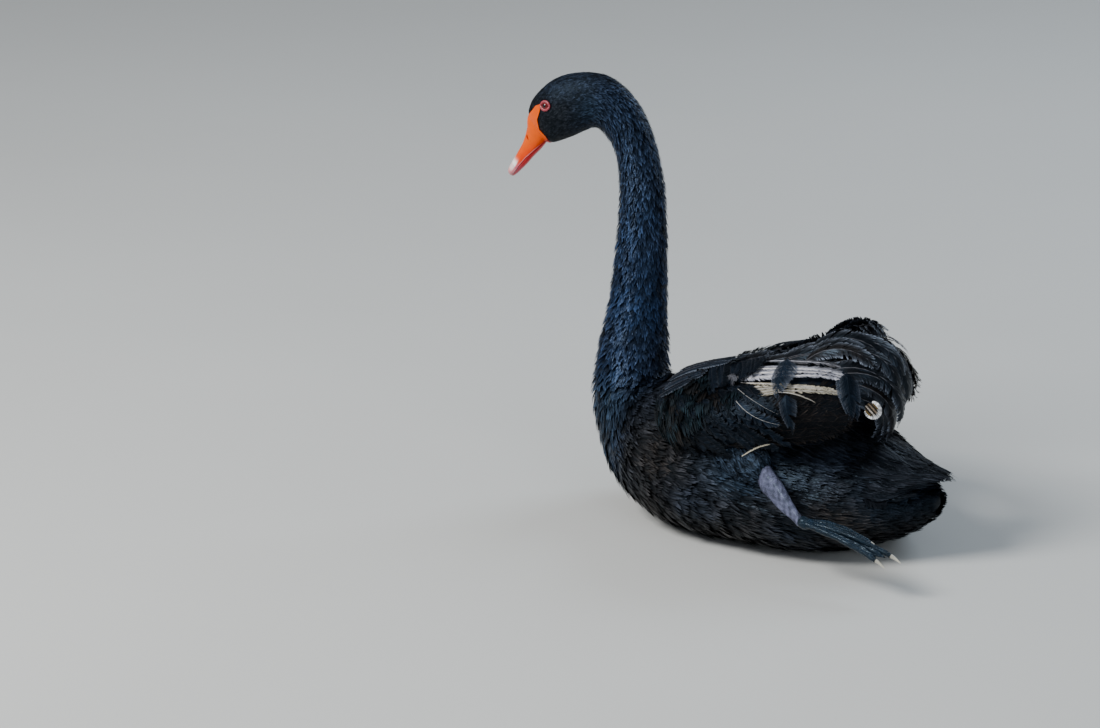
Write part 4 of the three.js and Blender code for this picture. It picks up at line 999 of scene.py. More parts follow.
def profile_block(name, outline, half=45.0):
    count = len(outline)
    points = [(x, -half, z) for x, z in outline] + [(x, half, z) for x, z in outline]
    faces = [tuple(range(count)), tuple(range(count, 2 * count))[::-1]]
    faces += [(i, (i + 1) % count, count + (i + 1) % count, count + i) for i in range(count)]
    made = loose_object(name, points, faces)
    outward(made)
    return made


def pushed_line(points, by):
    moved = []
    for i, (x, z) in enumerate(points):
        ax, az = points[max(i - 1, 0)]
        bx, bz = points[min(i + 1, len(points) - 1)]
        size = math.hypot(bx - ax, bz - az)
        moved.append((x + (bz - az) / size * by, z - (bx - ax) / size * by))
    return moved


def modified(piece, kind, **settings):
    """The piece with one modifier applied to its mesh."""
    modifier = piece.modifiers.new(kind.lower(), kind)
    for key, value in settings.items():
        setattr(modifier, key, value)
    depsgraph = bpy.context.evaluated_depsgraph_get()
    mesh = bpy.data.meshes.new_from_object(piece.evaluated_get(depsgraph))
    piece.modifiers.clear()
    old = piece.data
    piece.data = mesh
    bpy.data.meshes.remove(old)
    return piece


def copied(piece, name):
    twin = piece.copy()
    twin.data = piece.data.copy()
    twin.name = name
    scene.collection.objects.link(twin)
    return twin


def cut(piece, tool, operation):
    return modified(piece, "BOOLEAN", operation=operation, object=tool, solver="EXACT")


def mesh_points(piece):
    flat = np.empty(len(piece.data.vertices) * 3, np.float32)
    piece.data.vertices.foreach_get("co", flat)
    return flat.reshape(-1, 3) / MM


def set_points(piece, points):
    piece.data.vertices.foreach_set("co", (np.asarray(points, np.float32) * MM).ravel())
    piece.data.update()


def colour_points(piece, values):
    attribute = piece.data.attributes.new("tint", "FLOAT_COLOR", "POINT")
    full = np.ones((len(values), 4), np.float32)
    full[:, :3] = values
    attribute.data.foreach_set("color", full.ravel())


def smooth_all(piece):
    piece.data.polygons.foreach_set("use_smooth", np.ones(len(piece.data.polygons), bool))
    piece.data.update()


face_blank = capped_tube("face_blank", section_rings(SECTIONS, np.linspace(22, LAST_SECTION, 60), 96, turned=False))
bill_blank = capped_tube("bill_blank", section_rings(BILL, np.linspace(0, len(BILL) - 1, 90), 96, turned=False))
bill_blank = cut(bill_blank, face_blank, "UNION")
bill_blank = modified(bill_blank, "REMESH", mode="VOXEL", voxel_size=BILL_GRAIN * MM, use_smooth_shade=True)
bill_blank = modified(bill_blank, "SMOOTH", factor=0.6, iterations=8)
for sign in (-1, 1):
    slit_points = []
    for ring in range(9):
        polar = math.pi * ring / 8
        for k in range(14):
            turn = 2 * math.pi * k / 14
            local = np.array([4.4 * math.cos(polar), 3.0 * math.sin(polar) * math.cos(turn),
                              1.5 * math.sin(polar) * math.sin(turn)])
            c, s = math.cos(1.02), math.sin(1.02)
            slit_points.append((NOSTRIL_PLACE[0] + local[0] * c * -1 + local[2] * s,
                                sign * NOSTRIL_PLACE[1] + local[1], NOSTRIL_PLACE[2] + local[0] * s + local[2] * c))
    slit = capped_tube("nostril_tool", np.array(slit_points).reshape(9, 14, 3)[1:-1])
    bill_blank = cut(bill_blank, slit, "DIFFERENCE")
    bpy.data.objects.remove(slit)
bare_block = profile_block("bare_tool", BARE_EDGE + BARE_FRONT)
bill_blank = cut(bill_blank, bare_block, "INTERSECT")
mouth_over = profile_block("mouth_over_tool", pushed_line(MOUTH, MOUTH_LINE / 2) + BELOW_MOUTH)
mouth_under = profile_block("mouth_under_tool", pushed_line(MOUTH, -MOUTH_LINE / 2) + BELOW_MOUTH)
nail_back = profile_block("nail_back_tool", pushed_line(NAIL_EDGE, -0.15) + BEFORE_NAIL)
nail_front = profile_block("nail_front_tool", pushed_line(NAIL_EDGE, 0.15) + BEFORE_NAIL)
bill_lower_horn = cut(copied(bill_blank, "bill_lower_horn"), mouth_under, "INTERSECT")
bill_upper_all = cut(bill_blank, mouth_over, "DIFFERENCE")
bill_nail_horn = cut(copied(bill_upper_all, "bill_nail_horn"), nail_front, "INTERSECT")
bill_upper_horn = cut(bill_upper_all, nail_back, "DIFFERENCE")
bill_upper_horn.name = "bill_upper_horn"
for tool in (bare_block, mouth_over, mouth_under, nail_back, nail_front, face_blank):
    bpy.data.objects.remove(tool)

BILL_ORANGE = np.array([0.68, 0.042, 0.0])
BILL_DEEP = np.array([0.42, 0.010, 0.006])
BILL_PINK = np.array([0.58, 0.13, 0.19])
BILL_WHITE = np.array([0.86, 0.85, 0.84])
BILL_TIP = np.array([0.60, 0.42, 0.36])
BILL_LENGTH_FROM = np.array([-302.0, 452.0])
BILL_LENGTH_TO = np.array([-341.0, 392.5])


def bill_colours(points):
    """Orange sheath, redder along the mouth, with a pale bar across it before the pale nail."""
    flat = points[:, [0, 2]]
    axis = BILL_LENGTH_TO - BILL_LENGTH_FROM
    size = np.linalg.norm(axis)
    run = (flat - BILL_LENGTH_FROM) @ axis / size ** 2
    side = (flat - BILL_LENGTH_FROM) @ np.array([axis[1], -axis[0]]) / size
    mouth_z = np.interp(points[:, 0], [p[0] for p in MOUTH][::-1], [p[1] for p in MOUTH][::-1])
    above = points[:, 2] - mouth_z

    def blend(a, b, t):
        t = np.clip(t, 0, 1)[:, None]
        t = t * t * (3 - 2 * t)
        return a * (1 - t) + b * t

    made = blend(BILL_ORANGE * [1.05, 2.1, 1], BILL_ORANGE * [1, 1.0, 1], (run * 1.1 + (12 - above) / 22))
    made = blend(made, BILL_DEEP * 1.2, (4.0 - above) / 3.5)
    made = blend(made, BILL_PINK * [1.1, 1.3, 0.9], (1.2 - np.abs(above - 1.6)) / 0.8 * np.clip(run * 4 - 0.6, 0, 1))
    made = blend(made, BILL_PINK * [1.3, 0.3, 0.3], (0.5 - above) / 1.0 * np.clip(run * 3, 0, 0.8))
    made = blend(made, BILL_PINK, (run - 0.62) / 0.2 * np.clip((9 - above) / 5, 0, 1))
    bar = np.exp(-((run - 0.79) / 0.10) ** 2) * np.clip((above - 4.5 + 6 * (run - 0.8)) / 3, 0, 1)
    made = blend(made, BILL_WHITE, bar * 1.3)
    made = blend(made, BILL_PINK * 0.7 + BILL_TIP * 0.3, (run - 0.90) / 0.06)
    made = blend(made, BILL_TIP * [1.1, 1.2, 0.9], (run - 0.99) / 0.03)
    return made, run, side


bill_paint, tree, shader = paint("bill_horn")
tint = add_node(tree, "ShaderNodeAttribute", attribute_name="tint")
where = add_node(tree, "ShaderNodeTexCoord")
cloud = add_node(tree, "ShaderNodeTexNoise", {"Scale": 160.0, "Detail": 4.0})
pores = add_node(tree, "ShaderNodeTexNoise", {"Scale": 900.0, "Detail": 2.0})
shift = add_node(tree, "ShaderNodeMapRange", {"To Min": 0.86, "To Max": 1.12})
shaded = add_node(tree, "ShaderNodeVectorMath", operation="SCALE")
bump = add_node(tree, "ShaderNodeBump", {"Strength": 0.18, "Distance": 0.0004})
rough = add_node(tree, "ShaderNodeMapRange", {"To Min": 0.26, "To Max": 0.42})
join(tree, where, "Object", cloud, "Vector")
join(tree, where, "Object", pores, "Vector")
join(tree, cloud, "Fac", shift, "Value")
join(tree, tint, "Color", shaded, 0)
join(tree, shift, "Result", shaded, "Scale")
join(tree, shaded, "Vector", shader, "Base Color")
join(tree, pores, "Fac", bump, "Height")
join(tree, bump, "Normal", shader, "Normal")
join(tree, cloud, "Fac", rough, "Value")
join(tree, rough, "Result", shader, "Roughness")
shader.inputs["Specular IOR Level"].default_value = 0.3
shader.inputs["Specular Tint"].default_value = (1.0, 0.6, 0.35, 1)
shader.inputs["Subsurface Weight"].default_value = 0.05
shader.inputs["Subsurface Radius"].default_value = (0.004, 0.0015, 0.0008)
shader.inputs["Subsurface Scale"].default_value = 0.5

for piece, cad_node, slot in ((bill_upper_horn, "bill_upper", "bill_red"), (bill_lower_horn, "bill_lower", "bill_red"),
                              (bill_nail_horn, "bill_nail", "bill_red")):
    straight = mesh_points(piece)
    colours, run, _ = bill_colours(straight)
    if piece is bill_lower_horn:
        colours = colours * 0.55 + (BILL_DEEP * 0.9) * 0.45
    if piece is bill_nail_horn:
        colours = colours * 0.5 + (BILL_TIP * 0.5 + BILL_PINK * 0.6) * 0.5
    set_points(piece, turned_head(straight))
    colour_points(piece, colours)
    smooth_all(piece)
    piece.data.materials.clear()
    piece.data.materials.append(bill_paint)
    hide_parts(cad_node)
    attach(piece, "root")

# Eyes: a glossy ball with a dark pupil and a red iris, sunk in the head, and round it a bare fleshy lid ring
# that is pinched into a small corner in front and behind.
EYE_RADIUS = 6.1
EYE_SUNK = 4.3
EYE_FACING = np.array([-0.49, 0.844, 0.21]) / np.linalg.norm([-0.49, 0.844, 0.21])
LID_RADIUS = 5.5
LID_TUBE = 1.6
PUPIL = 0.34
IRIS = 0.74

eye_paint, tree, shader = paint("eye_glass")
tint = add_node(tree, "ShaderNodeAttribute", attribute_name="tint")
where = add_node(tree, "ShaderNodeTexCoord")
flecks = add_node(tree, "ShaderNodeTexNoise", {"Scale": 1500.0, "Detail": 3.0})
shift = add_node(tree, "ShaderNodeMapRange", {"To Min": 0.7, "To Max": 1.3})
shaded = add_node(tree, "ShaderNodeVectorMath", operation="SCALE")
join(tree, where, "Object", flecks, "Vector")
join(tree, flecks, "Fac", shift, "Value")
join(tree, tint, "Color", shaded, 0)
join(tree, shift, "Result", shaded, "Scale")
join(tree, shaded, "Vector", shader, "Base Color")
shader.inputs["Roughness"].default_value = 0.12
shader.inputs["Coat Weight"].default_value = 0.25
shader.inputs["Specular IOR Level"].default_value = 0.25
shader.inputs["Coat Roughness"].default_value = 0.02

lid_paint, tree, shader = paint("lid_skin")
tint = add_node(tree, "ShaderNodeAttribute", attribute_name="tint")
where = add_node(tree, "ShaderNodeTexCoord")
beads = add_node(tree, "ShaderNodeTexVoronoi", {"Scale": 1100.0})
shift = add_node(tree, "ShaderNodeMapRange", {"To Min": 1.12, "To Max": 0.75})
shaded = add_node(tree, "ShaderNodeVectorMath", operation="SCALE")
bump = add_node(tree, "ShaderNodeBump", {"Strength": 0.4, "Distance": 0.0004})
bump.invert = True
join(tree, where, "Object", beads, "Vector")
join(tree, beads, "Distance", shift, "Value")
join(tree, tint, "Color", shaded, 0)
join(tree, shift, "Result", shaded, "Scale")
join(tree, shaded, "Vector", shader, "Base Color")
join(tree, beads, "Distance", bump, "Height")
join(tree, bump, "Normal", shader, "Normal")
shader.inputs["Roughness"].default_value = 0.38
shader.inputs["Subsurface Weight"].default_value = 0.15
shader.inputs["Subsurface Radius"].default_value = (0.003, 0.001, 0.0008)
shader.inputs["Subsurface Scale"].default_value = 0.4

for side, sign in (("left", -1), ("right", 1)):
    facing = EYE_FACING * [1, sign, 1]
    surface_place = np.array(EYE_PLACE) * [1, sign, 1]
    centre = surface_place - facing * EYE_SUNK
    level = np.cross(facing, [0, 0, 1.0])
    level /= np.linalg.norm(level)
    level *= -sign
    over = np.cross(level, facing) * sign
    over /= np.linalg.norm(over)
    over *= np.sign(over[2])
    level = np.cross(over, facing)
    level *= -np.sign(level[0])
    rings, around = 40, 48
    polar = np.linspace(0, math.pi, rings + 1)[1:-1]
    turn = np.linspace(0, 2 * math.pi, around, endpoint=False)
    bulge = 1 + 0.06 * np.exp(-(polar / 0.5) ** 2)
    ball = (centre + (np.cos(polar) * bulge)[:, None, None] * facing * EYE_RADIUS
            + (np.sin(polar) * bulge)[:, None, None] * EYE_RADIUS * (
                np.cos(turn)[:, None] * level + np.sin(turn)[:, None] * over))
    points = np.concatenate([ball.reshape(-1, 3), [centre + facing * EYE_RADIUS * 1.06, centre - facing * EYE_RADIUS]])
    rows = len(polar)
    quads = ringed_faces(rows, around, True)
    k = np.arange(around)
    faces = np.concatenate([
        quads[:, [0, 1, 2]], quads[:, [0, 2, 3]],
        np.stack([(k + 1) % around, k, np.full(around, rows * around)], 1),
        np.stack([(rows - 1) * around + k, (rows - 1) * around + (k + 1) % around, np.full(around, rows * around + 1)],
                 1)])
    out_from = np.concatenate([np.repeat(polar, around), [0, math.pi]])
    red = np.array([0.14, 0.006, 0.008])
    dark = np.array([0.004, 0.003, 0.004])
    rim = np.array([0.05, 0.004, 0.004])
    shade = np.where((out_from < PUPIL)[:, None], dark, np.where(
        (out_from < IRIS)[:, None], red * (0.75 + 0.5 * (out_from[:, None] - PUPIL)), rim))
    piece = mesh_piece("eyeball_" + side, turned_head(points), faces, eye_paint, colours={"tint": shade})
    outward(piece)
    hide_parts("eye_" + side)
    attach(piece, "root")

    rings, around = 72, 20
    turn = np.linspace(0, 2 * math.pi, rings, endpoint=False)
    loop = np.linspace(0, 2 * math.pi, around, endpoint=False)
    corner = np.abs(np.cos(turn)) ** 8
    wide = LID_RADIUS * (1.05 + 0.10 * corner)
    high = LID_RADIUS * (0.90 - 0.05 * corner)
    tube = LID_TUBE * (1.05 - 0.25 * corner + 0.06 * np.sin(turn * 11))
    around_ring = (surface_place + (wide * np.cos(turn))[:, None] * level + (high * np.sin(turn))[:, None] * over
                   + facing * (0.1 - 0.35 * corner[:, None]))
    out_way = np.cos(turn)[:, None] * level + np.sin(turn)[:, None] * over
    lid = (around_ring[:, None] + (tube[:, None] * np.cos(loop))[..., None] * out_way[:, None]
           + (tube[:, None] * 0.8 * np.sin(loop))[..., None] * facing)
    lid_faces = ringed_faces(rings + 1, around, True) % (rings * around)
    # Painted highlight: the lid ring is paler on its outer face; towards the eye opening it is darker red.
    painted_lid_highlight = 0.5 + 0.5 * np.sin(loop)[None, :] * np.ones((rings, 1))
    inner = np.clip(-np.cos(loop), 0, 1)[None, :] * np.ones((rings, 1))
    pink = np.array([0.30, 0.014, 0.024])
    pale = np.array([0.30, 0.06, 0.09])
    deep = np.array([0.25, 0.022, 0.022])
    shade = pink * (1 - 0.5 * painted_lid_highlight[..., None]) + pale * 0.5 * painted_lid_highlight[..., None]
    shade = shade * (1 - 0.6 * inner[..., None]) + deep * 0.6 * inner[..., None]
    piece = mesh_piece("lid_ring_" + side, turned_head(lid.reshape(-1, 3)), lid_faces, lid_paint,
                       colours={"tint": shade.reshape(-1, 3)})
    outward(piece)
    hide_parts("eyelid_" + side)
    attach(piece, "root")

# Legs: bare skin over bone, lavender and wet on the shank with a groove along the tendon, blue-black on the
# toes, which carry plates on top and folded webs between them. The thigh is a feathered lump over each.
SHANK = np.array([[-16, -20, 10, 8, 10], [5, 0, 1, 9.5, 13.2], [18, 5, -6, 9.0, 12.6], [36, 13, -17, 7.0, 10.0],
                  [53, 19, -26, 5.0, 6.6], [64, 24, -31, 5.4, 5.4], [69, 25, -31.5, 4, 4.6]], float)
THIGH = np.array([[-6, -6, 4, 9, 12.5], [-12, -9, 6, 15, 19], [-26, -16, 9, 20, 26], [-48, -27, 15, 25, 33],
                  [-80, -42, 22, 27, 36]], float)
TOE_ROOT = np.array([69.0, 25.0, -30.0])
TOES = [("middle", (112, -2, -18), 5, 4.6, 13), ("outer", (100, 11, -22), 4, 4.2, 12),
        ("inner", (80, -12, -12), 6, 4.2, 11)]
HIND_TOE = np.array([[2, -4, 1, 3.6, 3.6], [-2, -12, -1, 3.1, 3.1], [-3, -19, -5, 1.5, 1.5],
                     [-3.5, -21.5, -7, 0.5, 0.5]], float)
HOCKS = {"left": (66, 126, 100), "right": (-56, 127, 62)}
WEB_THICK = 1.0
WEB_PULL = 0.35
LAVENDER_SKIN = np.array([0.092, 0.098, 0.160])
DARK_SKIN = np.array([0.0035, 0.0085, 0.0150])
FOOT_RIDGE = np.array([0.006, 0.015, 0.028])


def limb_rings(rows, steps, sides, side=(0.0, 1.0, 0.0), form=None):
    """Rings round a path of places with a width and a depth at each; form scales them by step and angle."""
    s = np.linspace(0, len(rows) - 1, steps)
    read = smooth_rows(rows, s)
    places = read[:, :3]
    run = np.gradient(places, axis=0)
    run /= np.linalg.norm(run, axis=1, keepdims=True)
    side = np.asarray(side, float)
    across = side - run * (run @ side)[:, None]
    across /= np.linalg.norm(across, axis=1, keepdims=True)
    up = np.cross(run, across)
    angle = np.linspace(0, 2 * math.pi, sides, endpoint=False)
    scale = np.ones((steps, sides)) if form is None else form(s[:, None] / (len(rows) - 1), angle[None, :])
    return (places[:, None] + across[:, None] * (read[:, 3:4] * np.cos(angle) * scale)[..., None]
            + up[:, None] * (read[:, 4:5] * np.sin(angle) * scale)[..., None])


def closed_tube(rings):
    """Points and triangles of a tube with both ends closed to a point."""
    rows, sides = rings.shape[:2]
    points = np.concatenate([rings.reshape(-1, 3), [rings[0].mean(0), rings[-1].mean(0)]])
    quads = ringed_faces(rows, sides, True)
    k = np.arange(sides)
    last = (rows - 1) * sides
    return points, np.concatenate([
        quads[:, [0, 1, 2]], quads[:, [0, 2, 3]],
        np.stack([(k + 1) % sides, k, np.full(sides, rows * sides)], 1),
        np.stack([last + k, last + (k + 1) % sides, np.full(sides, rows * sides + 1)], 1)])


def joined(parts):
    points, faces, total = [], [], 0
    for part_points, part_faces in parts:
        points.append(part_points)
        faces.append(part_faces + total)
        total += len(part_points)
    return np.concatenate(points), np.concatenate(faces)


def noise_tone(points, size, seed):
    """Soft uneven tone over places, from 0 to 1."""
    dice = np.random.default_rng(seed)
    total = np.zeros(len(points))
    for k in range(5):
        way = dice.normal(0, 1, 3)
        way /= np.linalg.norm(way)
        total += np.sin(points @ way * 2 * math.pi / (size * dice.uniform(0.6, 1.6)) + dice.uniform(0, 6.28))
    return np.clip(0.5 + total / 5, 0, 1)


leg_paint, tree, shader = paint("leg_skin")
tint = add_node(tree, "ShaderNodeAttribute", attribute_name="tint")
where = add_node(tree, "ShaderNodeTexCoord")
scales = add_node(tree, "ShaderNodeTexVoronoi", {"Scale": 520.0}, feature="DISTANCE_TO_EDGE")
raised = add_node(tree, "ShaderNodeMapRange", {"From Max": 0.12})
seams = add_node(tree, "ShaderNodeMapRange", {"From Max": 0.10, "To Min": 0.45, "To Max": 1.08})
cloud = add_node(tree, "ShaderNodeTexNoise", {"Scale": 130.0, "Detail": 4.0})
uneven = add_node(tree, "ShaderNodeMapRange", {"To Min": 0.45, "To Max": 1.6})
both = add_node(tree, "ShaderNodeMath", operation="MULTIPLY")
shaded = add_node(tree, "ShaderNodeVectorMath", operation="SCALE")
bump = add_node(tree, "ShaderNodeBump", {"Strength": 0.5, "Distance": 0.0005})
rough = add_node(tree, "ShaderNodeMapRange", {"To Min": 0.2, "To Max": 0.45})
join(tree, where, "Object", scales, "Vector")
join(tree, where, "Object", cloud, "Vector")
join(tree, scales, "Distance", raised, "Value")
join(tree, scales, "Distance", seams, "Value")
join(tree, cloud, "Fac", uneven, "Value")
join(tree, seams, "Result", both, 0)
join(tree, uneven, "Result", both, 1)
join(tree, tint, "Color", shaded, 0)
join(tree, both, 0, shaded, "Scale")
join(tree, shaded, "Vector", shader, "Base Color")
join(tree, raised, "Result", bump, "Height")
join(tree, bump, "Normal", shader, "Normal")
join(tree, cloud, "Fac", rough, "Value")
join(tree, rough, "Result", shader, "Roughness")
shader.inputs["Specular IOR Level"].default_value = 0.30
shader.inputs["Specular Tint"].default_value = (0.6, 0.8, 1.0, 1)

claw_paint, tree, shader = paint("claw_horn")
tint = add_node(tree, "ShaderNodeAttribute", attribute_name="tint")
where = add_node(tree, "ShaderNodeTexCoord")
grain = add_node(tree, "ShaderNodeTexNoise", {"Scale": 500.0, "Detail": 3.0})
uneven = add_node(tree, "ShaderNodeMapRange", {"To Min": 0.7, "To Max": 1.15})
shaded = add_node(tree, "ShaderNodeVectorMath", operation="SCALE")
bump = add_node(tree, "ShaderNodeBump", {"Strength": 0.2, "Distance": 0.0003})
join(tree, where, "Object", grain, "Vector")
join(tree, grain, "Fac", uneven, "Value")
join(tree, tint, "Color", shaded, 0)
join(tree, uneven, "Result", shaded, "Scale")
join(tree, shaded, "Vector", shader, "Base Color")
join(tree, grain, "Fac", bump, "Height")
join(tree, bump, "Normal", shader, "Normal")
shader.inputs["Roughness"].default_value = 0.3

# One row of plates: points spaced along a line, each with a flat oval plate as wide as the line says.
plate_row = bpy.data.node_groups.new("plate_row", "GeometryNodeTree")
plate_row.interface.new_socket("Line", in_out="INPUT", socket_type="NodeSocketGeometry")
plate_row.interface.new_socket("Spacing", in_out="INPUT", socket_type="NodeSocketFloat")
plate_row.interface.new_socket("Thickness", in_out="INPUT", socket_type="NodeSocketFloat")
plate_row.interface.new_socket("Seed", in_out="INPUT", socket_type="NodeSocketInt")
plate_row.interface.new_socket("Paint", in_out="INPUT", socket_type="NodeSocketMaterial")
plate_row.interface.new_socket("Plates", in_out="OUTPUT", socket_type="NodeSocketGeometry")
given = add_node(plate_row, "NodeGroupInput")
curve = add_node(plate_row, "GeometryNodeMeshToCurve")
spots = add_node(plate_row, "GeometryNodeCurveToPoints", mode="LENGTH")
plate = add_node(plate_row, "GeometryNodeMeshUVSphere", {"Segments": 10, "Rings": 6, "Radius": 1.0})
wide = add_node(plate_row, "GeometryNodeInputNamedAttribute", {"Name": "wide"}, data_type="FLOAT")
jitter = add_node(plate_row, "FunctionNodeRandomValue", {2: 0.88, 3: 1.10}, data_type="FLOAT")
across_size = add_node(plate_row, "ShaderNodeMath", operation="MULTIPLY")
along_size = add_node(plate_row, "ShaderNodeMath", {1: 0.68}, operation="MULTIPLY")
sizes = add_node(plate_row, "ShaderNodeCombineXYZ")
along_line = add_node(plate_row, "FunctionNodeAlignRotationToVector", axis="X")
facing_up = add_node(plate_row, "FunctionNodeAlignRotationToVector", {"Vector": (0, 0, 1)}, axis="Z", pivot_axis="X")
placed = add_node(plate_row, "GeometryNodeInstanceOnPoints")
real = add_node(plate_row, "GeometryNodeRealizeInstances")
painted = add_node(plate_row, "GeometryNodeSetMaterial")
given_out = add_node(plate_row, "NodeGroupOutput")
join(plate_row, given, "Line", curve, "Mesh")
join(plate_row, curve, "Curve", spots, "Curve")
join(plate_row, given, "Spacing", spots, "Length")
join(plate_row, spots, "Points", placed, "Points")
join(plate_row, plate, "Mesh", placed, "Instance")
join(plate_row, spots, "Tangent", along_line, "Vector")
join(plate_row, along_line, "Rotation", facing_up, "Rotation")
join(plate_row, facing_up, "Rotation", placed, "Rotation")
join(plate_row, given, "Seed", jitter, "Seed")
join(plate_row, wide, "Attribute", across_size, 0)
join(plate_row, jitter, 1, across_size, 1)
join(plate_row, given, "Spacing", along_size, 0)
join(plate_row, along_size, 0, sizes, "X")
join(plate_row, across_size, 0, sizes, "Y")
join(plate_row, given, "Thickness", sizes, "Z")
join(plate_row, sizes, "Vector", placed, "Scale")
join(plate_row, placed, "Instances", real, "Geometry")
join(plate_row, real, "Geometry", painted, "Geometry")
join(plate_row, given, "Paint", painted, "Material")
join(plate_row, painted, "Geometry", given_out, "Plates")
SOCKETS = {item.name: item.identifier for item in plate_row.interface.items_tree if item.in_out == "INPUT"}


def plates_along(name, line, wide, spacing, thickness, seed):
    """Points and triangles of a row of plates laid on a line."""
    mesh = bpy.data.meshes.new(name)
    mesh.from_pydata([tuple(p * MM) for p in line], [(i, i + 1) for i in range(len(line) - 1)], [])
    measure = mesh.attributes.new("wide", "FLOAT", "POINT")
    measure.data.foreach_set("value", np.asarray(wide, np.float32) * MM)
    row = bpy.data.objects.new(name, mesh)
    scene.collection.objects.link(row)
    modifier = row.modifiers.new("plates", "NODES")
    modifier.node_group = plate_row
    modifier[SOCKETS["Spacing"]] = spacing * MM
    modifier[SOCKETS["Thickness"]] = thickness * MM
    modifier[SOCKETS["Seed"]] = seed
    modifier[SOCKETS["Paint"]] = leg_paint
    made = bpy.data.meshes.new_from_object(row.evaluated_get(bpy.context.evaluated_depsgraph_get()))
    form = bmesh.new()
    form.from_mesh(made)
    bmesh.ops.triangulate(form, faces=form.faces)
    points = np.array([v.co for v in form.verts]) / MM
    faces = np.array([[v.index for v in f.verts] for f in form.faces])
    form.free()
    bpy.data.objects.remove(row)
    bpy.data.meshes.remove(made)
    return points, faces


def shank_form(s, angle):
    """A groove on each side between bone and tendon, and wrinkles at the hock."""
    groove = np.exp(-((np.abs(np.cos(angle)) - 0.97) / 0.10) ** 2) * np.sin(math.pi * np.clip(s, 0, 1)) ** 0.5
    wrinkle = np.sin(s * 190 + 2.0 * np.sin(angle)) * np.exp(-((s - 0.24) / 0.10) ** 2)
    return 1 - 0.20 * groove + 0.022 * wrinkle


def toe_line(end, bow, wide, steps=40):
    s = np.linspace(0, 1, steps)
    knuckle = 1 + 0.12 * np.cos(s * math.pi * 2 * 3.0 + 0.6)
    thick = wide * knuckle * (1 - 0.42 * s)
    return np.stack([TOE_ROOT[0] + end[0] * s, TOE_ROOT[1] + end[1] * np.sqrt(s),
                     TOE_ROOT[2] + end[2] * s + bow * np.sin(math.pi * s), thick, thick], -1)


